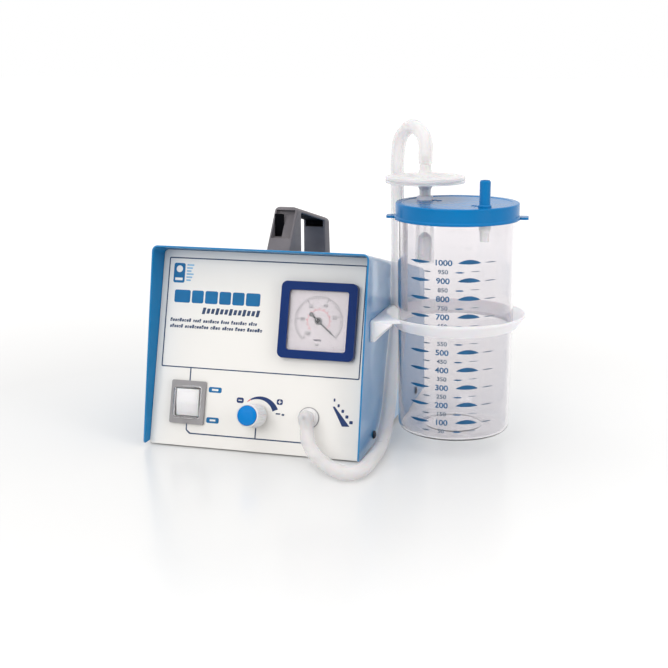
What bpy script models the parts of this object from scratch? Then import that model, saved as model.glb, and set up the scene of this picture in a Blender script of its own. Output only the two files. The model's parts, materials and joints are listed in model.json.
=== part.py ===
"""Suction pump: mains aspirator with a wedge-shaped case and a litre jar in a side holder.

Metres, +Z up, floor at Z = 0. +X is the jar side, -Y the control side. Sizes are drawn from the
middle of the cover's front lower edge, and HOME then sets the origin under the front left foot.
Panel-mounted parts use the panel's own frame: u across, v up the slope, w out.
"""
from math import cos, hypot, pi, radians, sin, atan2

import bmesh
import bpy
from mathutils import Matrix, Vector

MM = 0.001
GAP = 0.3 * MM

# Case
CASE_W = 187.5 * MM
CASE_BOTTOM = 3.0 * MM
CASE_TOP = 166.6 * MM
FRONT_LEAN = 0.20
REAR_BOTTOM_Y = 235 * MM
REAR_TOP_Y = 230 * MM
TOP_SLOPE = 0.225
SHEET = 1.5 * MM
TOP_BEND = 5 * MM

# Front panel: a plane that leans back, set into the cover
PANEL_Y = 11.2 * MM
PANEL_LEAN = 0.29
PANEL_T = 2.0 * MM
PANEL_HALF_W = CASE_W / 2 - SHEET - GAP
PANEL_HEIGHT = 163.0 * MM

# Tray, rear panel and feet
TRAY_FRONT_Y = 18.4 * MM
TRAY_REAR_Y = 225.6 * MM
TRAY_BOTTOM = 4.0 * MM
TRAY_RIM = 18.0 * MM
REAR_PANEL_Y = 226.0 * MM
FOOT_X = 76 * MM
FOOT_FRONT_Y = 30 * MM
FOOT_REAR_Y = 212 * MM
COVER_SCREW_Y = (49 * MM, 190 * MM)
COVER_SCREW_Z = 12 * MM
HOLDER_SCREW_Y = (62 * MM, 128 * MM)
HOLDER_SCREW_Z = 101.5 * MM

# Places on the panel (u, v)
GAUGE_AT = (49.4 * MM, 109 * MM)
GAUGE_W = 65 * MM
GAUGE_H = 63.5 * MM
SWITCH_AT = (-59.7 * MM, 34.7 * MM)
SWITCH_W = 30.5 * MM
SWITCH_H = 36.3 * MM
KNOB_AT = (1.5 * MM, 28 * MM)
KNOB_R = 9.6 * MM
KNOB_LENGTH = 24 * MM
PORT_AT = (46.7 * MM, 29.5 * MM)

# Handle on the sloping top
HANDLE_HALF_W = 10.4 * MM
HANDLE_FRONT_Y = 82 * MM
HANDLE_REAR_Y = 209 * MM

# Jar, lid and holder share one upright axis
JAR_X = 153.7 * MM
JAR_Y = 87.8 * MM
JAR_BOTTOM = 12.9 * MM
JAR_RIM = 199.6 * MM
JAR_R_TOP = 48.5 * MM
JAR_R_BOTTOM = 46.5 * MM
JAR_WALL = 2.0 * MM
LID_R = 50.6 * MM
LID_TOP = 203.6 * MM
LID_SKIRT = 190.1 * MM
COLLAR_TOP = 112.0 * MM
COLLAR_BOTTOM = 101.0 * MM
COLLAR_R = 58.0 * MM
HOLDER_HALF_LENGTH = 51.8 * MM

# Vacuum port with filter and float valve, and patient nozzle, on the lid
FILTER_X = 124 * MM
FILTER_Y = 101 * MM
FILTER_R = 33 * MM
FILTER_MID = 220 * MM
CAGE_BOTTOM = 150 * MM
NOZZLE_X = 181.2 * MM
NOZZLE_Y = 57.1 * MM

# Suction hose
HOSE_R = 5.5 * MM
HOSE_BORE = 3.5 * MM
HOSE_X = 99.7 * MM
HOSE_Y = 107 * MM
HOSE_SPLIT = 150 * MM

# Motor and pump inside
MOTOR_X = -12 * MM
MOTOR_Z = 64 * MM
PUMP_Y = 96 * MM
ECCENTRIC = 3 * MM
PUMP_BASE_Z = 12 * MM

WORLD = Matrix.Identity(4)
HOME = Matrix.Translation((FOOT_X, -FOOT_FRONT_Y, 0))


def frame_of(across, up, out, origin=(0, 0, 0)):
    """A frame whose local X, Y and Z run along the three given directions."""
    columns = Matrix((across, up, out)).transposed().to_4x4()
    return Matrix.Translation(origin) @ columns


LEAN = atan2(PANEL_LEAN, 1)
PANEL = frame_of((1, 0, 0), (0, sin(LEAN), cos(LEAN)), (0, -cos(LEAN), sin(LEAN)),
                 (0, PANEL_Y, CASE_BOTTOM))
SIDE = frame_of((0, 1, 0), (0, 0, 1), (1, 0, 0))
FRONT = frame_of((1, 0, 0), (0, 0, 1), (0, -1, 0))


def top_z(y):
    """Height of the cover's sloping top at depth y."""
    front_y = FRONT_LEAN * (CASE_TOP - CASE_BOTTOM)
    return CASE_TOP - TOP_SLOPE * (y - front_y)


# ---------------------------------------------------------------- scene and materials

def clear_scene():
    for obj in list(bpy.data.objects):
        bpy.data.objects.remove(obj, do_unlink=True)


def make_collection(name, hidden):
    collection = bpy.data.collections.new(name)
    bpy.context.scene.collection.children.link(collection)
    collection.hide_render = hidden
    return collection


clear_scene()
PARTS = make_collection("suction_pump", False)
CUTTERS = make_collection("suction_pump_cutters", True)


def paint(obj, colour, roughness, metallic=0.0, alpha=1.0):
    material = bpy.data.materials.new(obj.name)
    material.use_nodes = True
    shader = material.node_tree.nodes["Principled BSDF"]
    shader.inputs["Base Color"].default_value = (*colour, 1)
    shader.inputs["Roughness"].default_value = roughness
    shader.inputs["Metallic"].default_value = metallic
    shader.inputs["Alpha"].default_value = alpha
    obj.data.materials.clear()
    obj.data.materials.append(material)
    return obj


BLUE = ((0.0, 0.16, 0.50), 0.35)
WHITE = ((0.84, 0.82, 0.80), 0.45)
NAVY = ((0.01, 0.03, 0.16), 0.35)
DARK_GREY = ((0.15, 0.14, 0.16), 0.5)
MID_GREY = ((0.24, 0.23, 0.24), 0.5)
RUBBER = ((0.03, 0.03, 0.03), 0.8)
STEEL = ((0.6, 0.6, 0.62), 0.3, 1.0)
ALUMINIUM = ((0.7, 0.7, 0.72), 0.4, 1.0)
BRASS = ((0.7, 0.5, 0.2), 0.35, 1.0)
CLEAR = ((0.9, 0.92, 0.93), 0.08, 0.0, 0.25)
FROSTED = ((0.86, 0.87, 0.88), 0.4, 0.0, 0.7)


# ---------------------------------------------------------------- shape helpers

def link(name, data, frame=WORLD, at=(0, 0, 0), cutter=False):
    obj = bpy.data.objects.new(name, data)
    collection = CUTTERS if cutter else PARTS
    collection.objects.link(obj)
    obj.matrix_world = HOME @ frame @ Matrix.Translation(at)
    if cutter:
        make_cutter(obj)
    return obj


def make_cutter(obj):
    if obj.name in PARTS.objects:
        PARTS.objects.unlink(obj)
        CUTTERS.objects.link(obj)
    obj.display_type = "WIRE"
    obj.hide_render = True
    return obj


def round_edges(obj, radius, segments=2):
    bevel = obj.modifiers.new("bevel", "BEVEL")
    bevel.width = radius
    bevel.segments = segments
    bevel.limit_method = "ANGLE"
    bevel.angle_limit = radians(35)
    return obj


def block(name, size, at, frame=WORLD, cutter=False):
    bm = bmesh.new()
    bmesh.ops.create_cube(bm, size=1)
    bmesh.ops.scale(bm, vec=size, verts=bm.verts)
    mesh = bpy.data.meshes.new(name)
    bm.to_mesh(mesh)
    bm.free()
    return link(name, mesh, frame, at, cutter)


def drum(name, radius, low, high, at=(0, 0), frame=WORLD, cutter=False, top=None, steps=32, turn=0.0):
    """A cylinder or cone about the frame's Z, from low to high."""
    bm = bmesh.new()
    end = radius if top is None else top
    bmesh.ops.create_cone(bm, cap_ends=True, segments=steps, radius1=radius, radius2=end, depth=high - low)
    bmesh.ops.rotate(bm, matrix=Matrix.Rotation(turn, 3, "Z"), verts=bm.verts)
    bmesh.ops.translate(bm, vec=(0, 0, (low + high) / 2), verts=bm.verts)
    mesh = bpy.data.meshes.new(name)
    bm.to_mesh(mesh)
    bm.free()
    return link(name, mesh, frame, (at[0], at[1], 0), cutter)


def turned(name, profile, at=(0, 0), frame=WORLD, steps=48, ring=False, cutter=False):
    """A turned shape: its (radius, height) profile runs down the outer side. A ring's profile closes."""
    mesh = bpy.data.meshes.new(name)
    edges = [(i, i + 1) for i in range(len(profile) - 1)]
    if ring:
        edges.append((len(profile) - 1, 0))
    mesh.from_pydata([(r, 0, z) for r, z in profile], edges, [])
    obj = link(name, mesh, frame, (at[0], at[1], 0), cutter)
    screw = obj.modifiers.new("screw", "SCREW")
    screw.steps = steps
    screw.render_steps = steps
    screw.use_merge_vertices = True
    screw.merge_threshold = 0.00001
    screw.use_smooth_shade = False
    return obj


def to_mesh(obj):
    """Replaces a curve object with its welded mesh."""
    bpy.context.view_layer.update()
    evaluated = obj.evaluated_get(bpy.context.evaluated_depsgraph_get())
    mesh = bpy.data.meshes.new_from_object(evaluated)
    bm = bmesh.new()
    bm.from_mesh(mesh)
    bmesh.ops.remove_doubles(bm, verts=bm.verts, dist=0.000005)
    bmesh.ops.recalc_face_normals(bm, faces=bm.faces)
    bm.to_mesh(mesh)
    bm.free()
    name = obj.name
    matrix = obj.matrix_world.copy()
    collection = obj.users_collection[0]
    bpy.data.objects.remove(obj, do_unlink=True)
    made = bpy.data.objects.new(name, mesh)
    collection.objects.link(made)
    made.matrix_world = matrix
    if collection == CUTTERS:
        make_cutter(made)
    return made


def plate(name, outlines, low, high, frame=WORLD, at=(0, 0, 0), cutter=False):
    """A flat outline, with any holes as further outlines, from low to high along the frame's Z."""
    curve = bpy.data.curves.new(name, "CURVE")
    curve.dimensions = "2D"
    curve.fill_mode = "BOTH"
    curve.extrude = (high - low) / 2
    for points in outlines:
        spline = curve.splines.new("POLY")
        spline.points.add(len(points) - 1)
        for point, (x, y) in zip(spline.points, points):
            point.co = (x, y, 0, 1)
        spline.use_cyclic_u = True
    middle = (low + high) / 2
    return to_mesh(link(name, curve, frame, (at[0], at[1], at[2] + middle), cutter))


def rod(name, points, radius, resolution=2, cutter=False, frame=WORLD, at=(0, 0, 0)):
    """A round rod or wire along straight stretches between points."""
    curve = bpy.data.curves.new(name, "CURVE")
    curve.dimensions = "3D"
    curve.bevel_depth = radius
    curve.bevel_resolution = resolution
    curve.use_fill_caps = True
    spline = curve.splines.new("POLY")
    spline.points.add(len(points) - 1)
    for point, place in zip(spline.points, points):
        point.co = (*place, 1)
    return to_mesh(link(name, curve, frame, at, cutter))


def smooth_path(points, steps):
    """A rounded path through the points, with steps stretches between each pair."""
    places = [Vector(p) for p in points]
    places = [2 * places[0] - places[1]] + places + [2 * places[-1] - places[-2]]
    path = []
    for before, start, end, after in zip(places, places[1:], places[2:], places[3:]):
        for step in range(steps):
            t = step / steps
            a = -0.5 * t ** 3 + t ** 2 - 0.5 * t
            b = 1.5 * t ** 3 - 2.5 * t ** 2 + 1
            c = -1.5 * t ** 3 + 2 * t ** 2 + 0.5 * t
            d = 0.5 * t ** 3 - 0.5 * t ** 2
            path.append(a * before + b * start + c * end + d * after)
    path.append(places[-2])
    return path


def hose(name, points, outer, bore, steps=2):
    """A hollow hose: a rod with a longer, thinner rod cut out of it."""
    path = smooth_path(points, steps)
    obj = rod(name, path, outer)
    reach = outer
    first = path[0] + (path[0] - path[1]).normalized() * reach
    last = path[-1] + (path[-1] - path[-2]).normalized() * reach
    core = rod(name + "_core", [first] + path + [last], bore, cutter=True)
    carve(obj, core)
    return obj


def boolean(obj, other, operation):
    modifier = obj.modifiers.new(operation.lower(), "BOOLEAN")
    modifier.operation = operation
    modifier.solver = "EXACT"
    modifier.object = other
    make_cutter(other)


def carve(obj, *cutters):
    for cutter in cutters:
        boolean(obj, cutter, "DIFFERENCE")
    return obj


def fuse(obj, *others):
    for other in others:
        boolean(obj, other, "UNION")
    return obj


def circle(radius, centre=(0, 0), steps=24):
    turns = [2 * pi * i / steps for i in range(steps)]
    return [(centre[0] + radius * cos(t), centre[1] + radius * sin(t)) for t in turns]


def arc(centre, radius, start, end, steps):
    angles = [radians(start + (end - start) * i / steps) for i in range(steps + 1)]
    return [(centre[0] + radius * cos(t), centre[1] + radius * sin(t)) for t in angles]


def rounded(width, height, radius, centre=(0, 0), steps=4):
    """A rectangle with round corners, counter-clockwise."""
    points = []
    reach_x = width / 2 - radius
    reach_y = height / 2 - radius
    for side_x, side_y, start in ((1, 1, 0), (-1, 1, 90), (-1, -1, 180), (1, -1, 270)):
        corner = (centre[0] + side_x * reach_x, centre[1] + side_y * reach_y)
        points += arc(corner, radius, start, start + 90, steps)
    return points


def panel_point(place, w):
    """World position of a panel place (u, v) at height w above the panel's face."""
    return PANEL @ Vector((place[0], place[1], w))


# ---------------------------------------------------------------- case

def bend_top_edges(obj, radius, half_width):
    """Rounds the two long upper edges, as sheet steel bends."""
    bm = bmesh.new()
    bm.from_mesh(obj.data)
    tops = [v for v in bm.verts if v.co.y > 100 * MM]
    edges = [e for e in bm.edges if all(v in tops for v in e.verts)
             and all(abs(abs(v.co.z) - half_width) < 0.1 * MM for v in e.verts)
             and e.verts[0].co.z * e.verts[1].co.z > 0]
    bmesh.ops.bevel(bm, geom=edges, offset=radius, segments=4, profile=0.5, affect="EDGES")
    bm.to_mesh(obj.data)
    bm.free()


def build_cover():
    front_top_y = FRONT_LEAN * (CASE_TOP - CASE_BOTTOM)
    corner = arc((4 * MM, CASE_BOTTOM + 3 * MM), 3 * MM, 180, 270, 3)
    outline = corner + [
        (REAR_BOTTOM_Y, CASE_BOTTOM), (REAR_TOP_Y, top_z(REAR_TOP_Y)), (front_top_y, CASE_TOP)]
    cover = plate("top_cover", [outline], -CASE_W / 2, CASE_W / 2, SIDE)
    bend_top_edges(cover, TOP_BEND, CASE_W / 2)

    inside = CASE_W / 2 - SHEET
    drop = SHEET * hypot(1, TOP_SLOPE)
    far = 60 * MM
    inner = [(-far, -far), (REAR_BOTTOM_Y + far, -far),
             (REAR_BOTTOM_Y + far, top_z(REAR_BOTTOM_Y + far) - drop), (-far, top_z(-far) - drop)]
    hollow = plate("cover_hollow", [inner], -inside, inside, SIDE, cutter=True)
    bend_inner_edges(hollow, TOP_BEND - SHEET, inside)
    carve(cover, hollow)

    for y in COVER_SCREW_Y:
        hole = drum("cover_screw_hole", 2.2 * MM, -CASE_W, CASE_W, (y, COVER_SCREW_Z), SIDE, True, steps=12)
        carve(cover, hole)
    for y in HOLDER_SCREW_Y:
        hole = drum("cover_holder_hole", 2.2 * MM, 0, CASE_W, (y, HOLDER_SCREW_Z), SIDE, True, steps=12)
        carve(cover, hole)
    return paint(cover, *BLUE)


def bend_inner_edges(obj, radius, half_width):
    """Rounds the hollow's two long upper edges to match the bends of the cover."""
    bm = bmesh.new()
    bm.from_mesh(obj.data)
    edges = [e for e in bm.edges if all(v.co.y > 80 * MM for v in e.verts)
             and all(abs(abs(v.co.z) - half_width) < 0.1 * MM for v in e.verts)
             and e.verts[0].co.z * e.verts[1].co.z > 0]
    bmesh.ops.bevel(bm, geom=edges, offset=radius, segments=4, profile=0.5, affect="EDGES")
    bm.to_mesh(obj.data)
    bm.free()


def build_front_panel():
    low = -2 * MM
    corner = 3.6 * MM
    outline = [(-PANEL_HALF_W, low), (PANEL_HALF_W, low)]
    outline += arc((PANEL_HALF_W - corner, PANEL_HEIGHT - corner), corner, 0, 90, 4)
    outline += arc((-PANEL_HALF_W + corner, PANEL_HEIGHT - corner), corner, 90, 180, 4)
    holes = [
        circle(29.2 * MM, GAUGE_AT, 48),
        rounded(26 * MM, 31 * MM, 1 * MM, SWITCH_AT, 2),
        circle(5.3 * MM, KNOB_AT, 20),
        circle(5.2 * MM, PORT_AT, 20)]
    panel = plate("front_panel", [outline] + holes, -PANEL_T, 0, PANEL)
    return paint(panel, *WHITE)


def build_tray():
    width = 2 * PANEL_HALF_W
    depth = TRAY_REAR_Y - TRAY_FRONT_Y
    height = TRAY_RIM - TRAY_BOTTOM
    middle_y = (TRAY_REAR_Y + TRAY_FRONT_Y) / 2
    tray = block("base_tray", (width, depth, height), (0, middle_y, TRAY_BOTTOM + height / 2))
    hollow = block("tray_hollow", (width - 2 * SHEET, depth - 2 * SHEET, height),
                   (0, middle_y, TRAY_BOTTOM + SHEET + height / 2), cutter=True)
    carve(tray, hollow)
    for y in COVER_SCREW_Y:
        hole = drum("tray_screw_hole", 2.2 * MM, -CASE_W, CASE_W, (y, COVER_SCREW_Z), SIDE, True, steps=12)
        carve(tray, hole)
    for x in (-FOOT_X, FOOT_X):
        for y in (FOOT_FRONT_Y, FOOT_REAR_Y):
            hole = drum("foot_hole", 2.8 * MM, 0, 20 * MM, (x, y), cutter=True, steps=12)
            carve(tray, hole)
    return paint(tray, *WHITE)


def build_rear_panel():
    high = top_z(REAR_PANEL_Y + SHEET) - SHEET - 1.0 * MM
    low = 5 * MM
    corner = 3.6 * MM
    outline = [(-PANEL_HALF_W, low), (PANEL_HALF_W, low)]
    outline += arc((PANEL_HALF_W - corner, high - corner), corner, 0, 90, 4)
    outline += arc((-PANEL_HALF_W + corner, high - corner), corner, 90, 180, 4)
    holes = [rounded(27.6 * MM, 32.4 * MM, 1 * MM, (-60 * MM, 46 * MM), 2)]
    holes += [rounded(44 * MM, 3 * MM, 1.4 * MM, (40 * MM, z * MM), 2) for z in range(35, 84, 8)]
    panel = plate("rear_panel", [outline] + holes, -REAR_PANEL_Y - SHEET, -REAR_PANEL_Y, FRONT)
    return paint(panel, *WHITE)


def build_foot(name, x, y):
    profile = [(0, 8.6), (2.0, 8.6), (3.5, 7.4), (3.5, 5.8), (2.5, 5.8), (2.5, 3.7),
               (8.0, 3.7), (8.2, 3.0), (7.4, 0), (0, 0)]
    foot = turned(name, [(r * MM, z * MM) for r, z in profile], (x, y), steps=16)
    return paint(foot, *RUBBER)


def build_side_screw(name, side, place, under_head):
    """A pan-head screw, its head on a side face, with a cross recess."""
    profile = [(0, 1.8), (1.6, 1.8), (3.0, 1.1), (3.5, 0), (1.9, 0), (1.9, -under_head), (0, -under_head)]
    out = frame_of((0, side, 0), (0, 0, 1), (side, 0, 0), (side * place[0], place[1], place[2]))
    screw = turned(name, [(r * MM, z * MM) for r, z in profile], frame=out, steps=16)
    for size in ((3.4 * MM, 0.7 * MM, 1.4 * MM), (0.7 * MM, 3.4 * MM, 1.4 * MM)):
        carve(screw, block("screw_slot", size, (0, 0, 1.7 * MM), out, cutter=True))
    return paint(screw, *STEEL)


def build_handle():
    """A bridge handle, hollow in its raked front leg and under the rear of its grip."""
    lift = 0.4 * MM

    def grip_top(y):
        return 192.5 * MM - 0.226 * (y - 109 * MM)

    def foot_z(y):
        return top_z(y) + lift

    leg_front, leg_rear, grip = 118 * MM, 190 * MM, 8 * MM
    outline = [
        (HANDLE_FRONT_Y, foot_z(HANDLE_FRONT_Y)),
        (leg_front, foot_z(leg_front)), (leg_front, grip_top(leg_front) - grip),
        (leg_rear, grip_top(leg_rear) - 0.8 * grip), (leg_rear, foot_z(leg_rear)),
        (HANDLE_REAR_Y, foot_z(HANDLE_REAR_Y)),
        (205 * MM, grip_top(205 * MM)), (109 * MM, grip_top(109 * MM))]
    handle = plate("carry_handle", [outline], -HANDLE_HALF_W, HANDLE_HALF_W, SIDE)
    round_edges(handle, 1.4 * MM, 2)
    wide = 2 * HANDLE_HALF_W - 4.4 * MM
    front_pocket = block("front_pocket", (wide, 40 * MM, 20 * MM), (0, 95.2 * MM, 178.5 * MM), cutter=True)
    rear_pocket = block("rear_pocket", (wide, 16 * MM, 6 * MM), (0, 191 * MM, 164 * MM), cutter=True)
    carve(handle, front_pocket, rear_pocket)
    return paint(handle, *DARK_GREY)


def build_case():
    build_cover()
    build_front_panel()
    build_tray()
    build_rear_panel()
    for name, x, y in (("foot_front_left", -FOOT_X, FOOT_FRONT_Y), ("foot_front_right", FOOT_X, FOOT_FRONT_Y),
                       ("foot_rear_left", -FOOT_X, FOOT_REAR_Y), ("foot_rear_right", FOOT_X, FOOT_REAR_Y)):
        build_foot(name, x, y)
    for name, side, y in (("cover_screw_left_front", -1, 0), ("cover_screw_left_rear", -1, 1),
                          ("cover_screw_right_front", 1, 0), ("cover_screw_right_rear", 1, 1)):
        build_side_screw(name, side, (CASE_W / 2 + 0.2 * MM, COVER_SCREW_Y[y], COVER_SCREW_Z), 4.5)
    build_handle()


# ---------------------------------------------------------------- gauge

PINION_R = 2.2 * MM
SECTOR_R = 13.5 * MM
SECTOR_DROP = PINION_R + SECTOR_R + GAP
GEAR_LOW = -8.4 * MM
GEAR_HIGH = -6.6 * MM


def build_gauge_bezel():
    outer = rounded(GAUGE_W, GAUGE_H, 5 * MM, steps=5)
    bezel = plate("gauge_bezel", [outer], 0.2 * MM, 6.2 * MM, PANEL, (*GAUGE_AT, 0))
    round_edges(bezel, 1.2 * MM, 2)
    window = plate("gauge_window", [rounded(50.6 * MM, 49.4 * MM, 1.5 * MM, steps=3)], -9 * MM, 9 * MM,
                   PANEL, (*GAUGE_AT, 0), True)
    rebate = plate("gauge_rebate", [rounded(58.4 * MM, 57.4 * MM, 1.5 * MM, steps=3)], -9 * MM, 4.8 * MM,
                   PANEL, (*GAUGE_AT, 0), True)
    carve(bezel, rebate, window)
    return paint(bezel, *NAVY)


def build_gauge():
    build_gauge_bezel()
    lens = plate("gauge_lens", [rounded(56 * MM, 55 * MM, 1.2 * MM, steps=2)], 3.5 * MM, 4.6 * MM,
                 PANEL, (*GAUGE_AT, 0))
    paint(lens, *CLEAR)
    dial = plate("gauge_dial", [rounded(57.6 * MM, 56.6 * MM, 1.2 * MM, steps=2), circle(1.4 * MM, steps=12)],
                 0.9 * MM, 1.5 * MM, PANEL, (*GAUGE_AT, 0))
    paint(dial, (0.88, 0.84, 0.84), 0.5)

    cup = [(28.6, 0.6), (28.6, -27.0), (5.6, -27.0), (5.6, -25.6), (27.2, -25.6), (27.2, 0.6)]
    case = turned("gauge_case", [(r * MM, z * MM) for r, z in cup], GAUGE_AT, PANEL, steps=36, ring=True)
    paint(case, *STEEL)

    build_gauge_stem()

    ring = [(20 * MM * cos(radians(a)), 20 * MM * sin(radians(a)), -16 * MM) for a in range(-60, 211, 18)]
    inlet = [(0, -7 * MM, -17 * MM), (6 * MM, -14 * MM, -16.4 * MM)]
    tube = rod("gauge_tube", inlet + ring, 1.6 * MM, frame=PANEL, at=(*GAUGE_AT, 0))
    paint(tube, *BRASS)
    build_gauge_needle()
    build_gauge_sector()


def build_gauge_needle():
    """Pointer, hub, arbor and pinion, turning as one. It rests on the scale's lower right end."""
    rest = radians(-40)
    outline = [(-8.5, -1.1), (0, -0.8), (14.5, -0.55), (19.5, 0), (14.5, 0.55), (0, 0.8), (-8.5, 1.1)]
    points = [(x * MM * cos(rest) - y * MM * sin(rest), x * MM * sin(rest) + y * MM * cos(rest))
              for x, y in outline]
    needle = plate("gauge_needle", [points], 2.1 * MM, 2.6 * MM, PANEL, (*GAUGE_AT, 0))
    hub = drum("needle_hub", 2.6 * MM, 1.8 * MM, 3.1 * MM, GAUGE_AT, PANEL, True, steps=16)
    arbor = drum("needle_arbor", 1.0 * MM, -12 * MM, 2.0 * MM, GAUGE_AT, PANEL, True, steps=12)
    pinion = drum("needle_pinion", PINION_R, GEAR_LOW, GEAR_HIGH, GAUGE_AT, PANEL, True, steps=16)
    fuse(needle, hub, arbor, pinion)
    return paint(needle, *DARK_GREY)


def build_gauge_sector():
    """The quadrant that turns the pinion. It is set 23 degrees off centre, so its swing stays in mesh."""
    swing = 24
    points = [(2.6 * MM, -2.6 * MM), (-2.6 * MM, -2.6 * MM)]
    rim = arc((0, 0), SECTOR_R, 90 + 2 * swing + 6, 90 - 6, 14)
    place = (GAUGE_AT[0], GAUGE_AT[1] - SECTOR_DROP)
    sector = plate("gauge_sector", [points + rim, circle(1.3 * MM, steps=12)], GEAR_LOW, GEAR_HIGH,
                   PANEL, (*place, 0))
    return paint(sector, *BRASS)


def build_gauge_stem():
    """The threaded stem, with the plate and pin that carry the sector."""
    profile = [(0, -19.0), (5.2, -19.0), (5.2, -33.0), (3.4, -34.0), (3.4, -40.0), (0, -40.0)]
    stem = turned("gauge_stem", [(r * MM, z * MM) for r, z in profile], GAUGE_AT, PANEL, steps=20)
    middle_v = GAUGE_AT[1] - SECTOR_DROP / 2
    fuse(stem, block("stem_arm", (5 * MM, 6 * MM, 9.2 * MM), (*GAUGE_AT, -17.6 * MM), PANEL))
    fuse(stem, block("stem_plate", (6 * MM, SECTOR_DROP + 6 * MM, 1.4 * MM),
                     (GAUGE_AT[0], middle_v, -13.4 * MM), PANEL))
    pin = [(0, -5.0), (1.1, -5.0), (1.1, -9.4), (2.2, -9.6), (2.2, -13.2), (0, -13.2)]
    place = (GAUGE_AT[0], GAUGE_AT[1] - SECTOR_DROP)
    fuse(stem, turned("sector_pin", [(r * MM, z * MM) for r, z in pin], place, PANEL, steps=12))
    return paint(stem, *BRASS)


# ---------------------------------------------------------------- switch

ROCKER_W = 20 * MM
ROCKER_H = 23 * MM
ROCKER_TILT = radians(9)


def build_switch():
    frame_outline = rounded(SWITCH_W, SWITCH_H, 1.6 * MM, steps=3)
    housing = plate("switch_housing", [frame_outline], 0.2 * MM, 2.8 * MM, PANEL, (*SWITCH_AT, 0))
    round_edges(housing, 0.7 * MM, 2)
    body = block("switch_body", (25.2 * MM, 30.2 * MM, 22.5 * MM), (*SWITCH_AT, -10.5 * MM), PANEL)
    well = block("switch_well", (21.6 * MM, 24.8 * MM, 20 * MM), (*SWITCH_AT, -2 * MM), PANEL, True)
    fuse(housing, body)
    carve(housing, well)
    paint(housing, *MID_GREY)

    half = ROCKER_H / 2
    crown = [(half, 2.6 * MM), (0, 3.8 * MM), (-half, 2.6 * MM)]
    outline = [(-half, -2 * MM), (-3 * MM, -5 * MM), (3 * MM, -5 * MM), (half, -2 * MM)] + crown
    turned_outline = [(v * cos(ROCKER_TILT) - w * sin(ROCKER_TILT), v * sin(ROCKER_TILT) + w * cos(ROCKER_TILT))
                      for v, w in outline]
    across = PANEL @ frame_of((0, 1, 0), (0, 0, 1), (1, 0, 0), (*SWITCH_AT, 0))
    rocker = plate("switch_rocker", [turned_outline], -ROCKER_W / 2, ROCKER_W / 2, across)
    round_edges(rocker, 0.6 * MM, 2)
    paint(rocker, *WHITE)

    boot = plate("switch_boot", [rounded(23.8 * MM, 27.2 * MM, 2.4 * MM, steps=3)], 3.1 * MM, 9.4 * MM,
                 PANEL, (*SWITCH_AT, 0))
    round_edges(boot, 1.2 * MM, 2)
    inside = plate("boot_inside", [rounded(22.0 * MM, 25.4 * MM, 1.8 * MM, steps=3)], 0, 8.5 * MM,
                   PANEL, (*SWITCH_AT, 0), True)
    carve(boot, inside)
    return paint(boot, *CLEAR)


# ---------------------------------------------------------------- regulator and inlet port

def build_regulator():
    """A needle valve: the knob turns a spindle, and the tapered pin at its end."""
    profile = [(0, KNOB_LENGTH / MM - 1.6), (6.6, KNOB_LENGTH / MM - 1.6), (6.6, KNOB_LENGTH / MM),
               (9.1, KNOB_LENGTH / MM), (9.6, KNOB_LENGTH / MM - 0.8), (9.6, 4.0), (8.6, 3.2), (3.3, 3.2),
               (3.3, 16.0), (0, 16.0)]
    knob = turned("regulator_knob", [(r * MM, z * MM) for r, z in profile], KNOB_AT, PANEL, steps=32)
    for index in range(8):
        angle = 2 * pi * index / 8
        place = (KNOB_AT[0] + 10.6 * MM * cos(angle), KNOB_AT[1] + 10.6 * MM * sin(angle))
        carve(knob, drum("knob_flute", 1.6 * MM, 5.5 * MM, 40 * MM, place, PANEL, True, steps=8))
    paint(knob, *WHITE)

    cap = [(0, 26.0), (5.5, 25.8), (7.9, 25.0), (8.1, 24.3), (6.3, 24.3), (6.3, 22.7), (0, 22.7)]
    paint(turned("knob_cap", [(r * MM, z * MM) for r, z in cap], KNOB_AT, PANEL, steps=28), *BLUE)

    spindle = [(0, 15.6), (3.0, 15.6), (3.0, -12.0), (0, -12.0)]
    paint(turned("regulator_spindle", [(r * MM, z * MM) for r, z in spindle], KNOB_AT, PANEL, steps=20), *BRASS)

    pin = [(0, -12.0), (2.0, -12.0), (2.0, -15.0), (0.4, -18.0), (0, -18.0)]
    paint(turned("valve_pin", [(r * MM, z * MM) for r, z in pin], KNOB_AT, PANEL, steps=16), *STEEL)

    nut = plate("regulator_nut", [circle(7.6 * MM, steps=6), circle(5.4 * MM, steps=20)], 0.2 * MM, 2.4 * MM,
                PANEL, (*KNOB_AT, 0))
    paint(nut, *STEEL)
    return build_regulator_body()


def build_regulator_body():
    body = block("regulator_body", (20 * MM, 20 * MM, 26 * MM), (*KNOB_AT, -15.4 * MM), PANEL)
    round_edges(body, 1 * MM, 1)
    bush = drum("regulator_bush", 5.0 * MM, -6 * MM, 2.8 * MM, KNOB_AT, PANEL, steps=20)
    barb_frame = PANEL @ frame_of((0, 1, 0), (0, 0, 1), (1, 0, 0), (*KNOB_AT, -15.4 * MM))
    side_barb = drum("regulator_side_barb", 2.4 * MM, -20 * MM, 0, frame=barb_frame, steps=12)
    rear_barb = drum("regulator_rear_barb", 2.4 * MM, -36 * MM, -24 * MM, KNOB_AT, PANEL, steps=12)
    fuse(body, bush, side_barb, rear_barb)
    bore = drum("regulator_bore", 3.3 * MM, -12.2 * MM, 9 * MM, KNOB_AT, PANEL, True, steps=20)
    seat = drum("regulator_seat", 2.4 * MM, -22 * MM, -11 * MM, KNOB_AT, PANEL, True, steps=16)
    outlet = drum("regulator_outlet", 1.4 * MM, -30 * MM, 1 * MM, frame=barb_frame, cutter=True, steps=10)
    inlet = drum("regulator_inlet", 1.4 * MM, -50 * MM, -20 * MM, KNOB_AT, PANEL, True, steps=10)
    carve(body, bore, seat, outlet, inlet)
    return paint(body, *BRASS)


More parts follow.
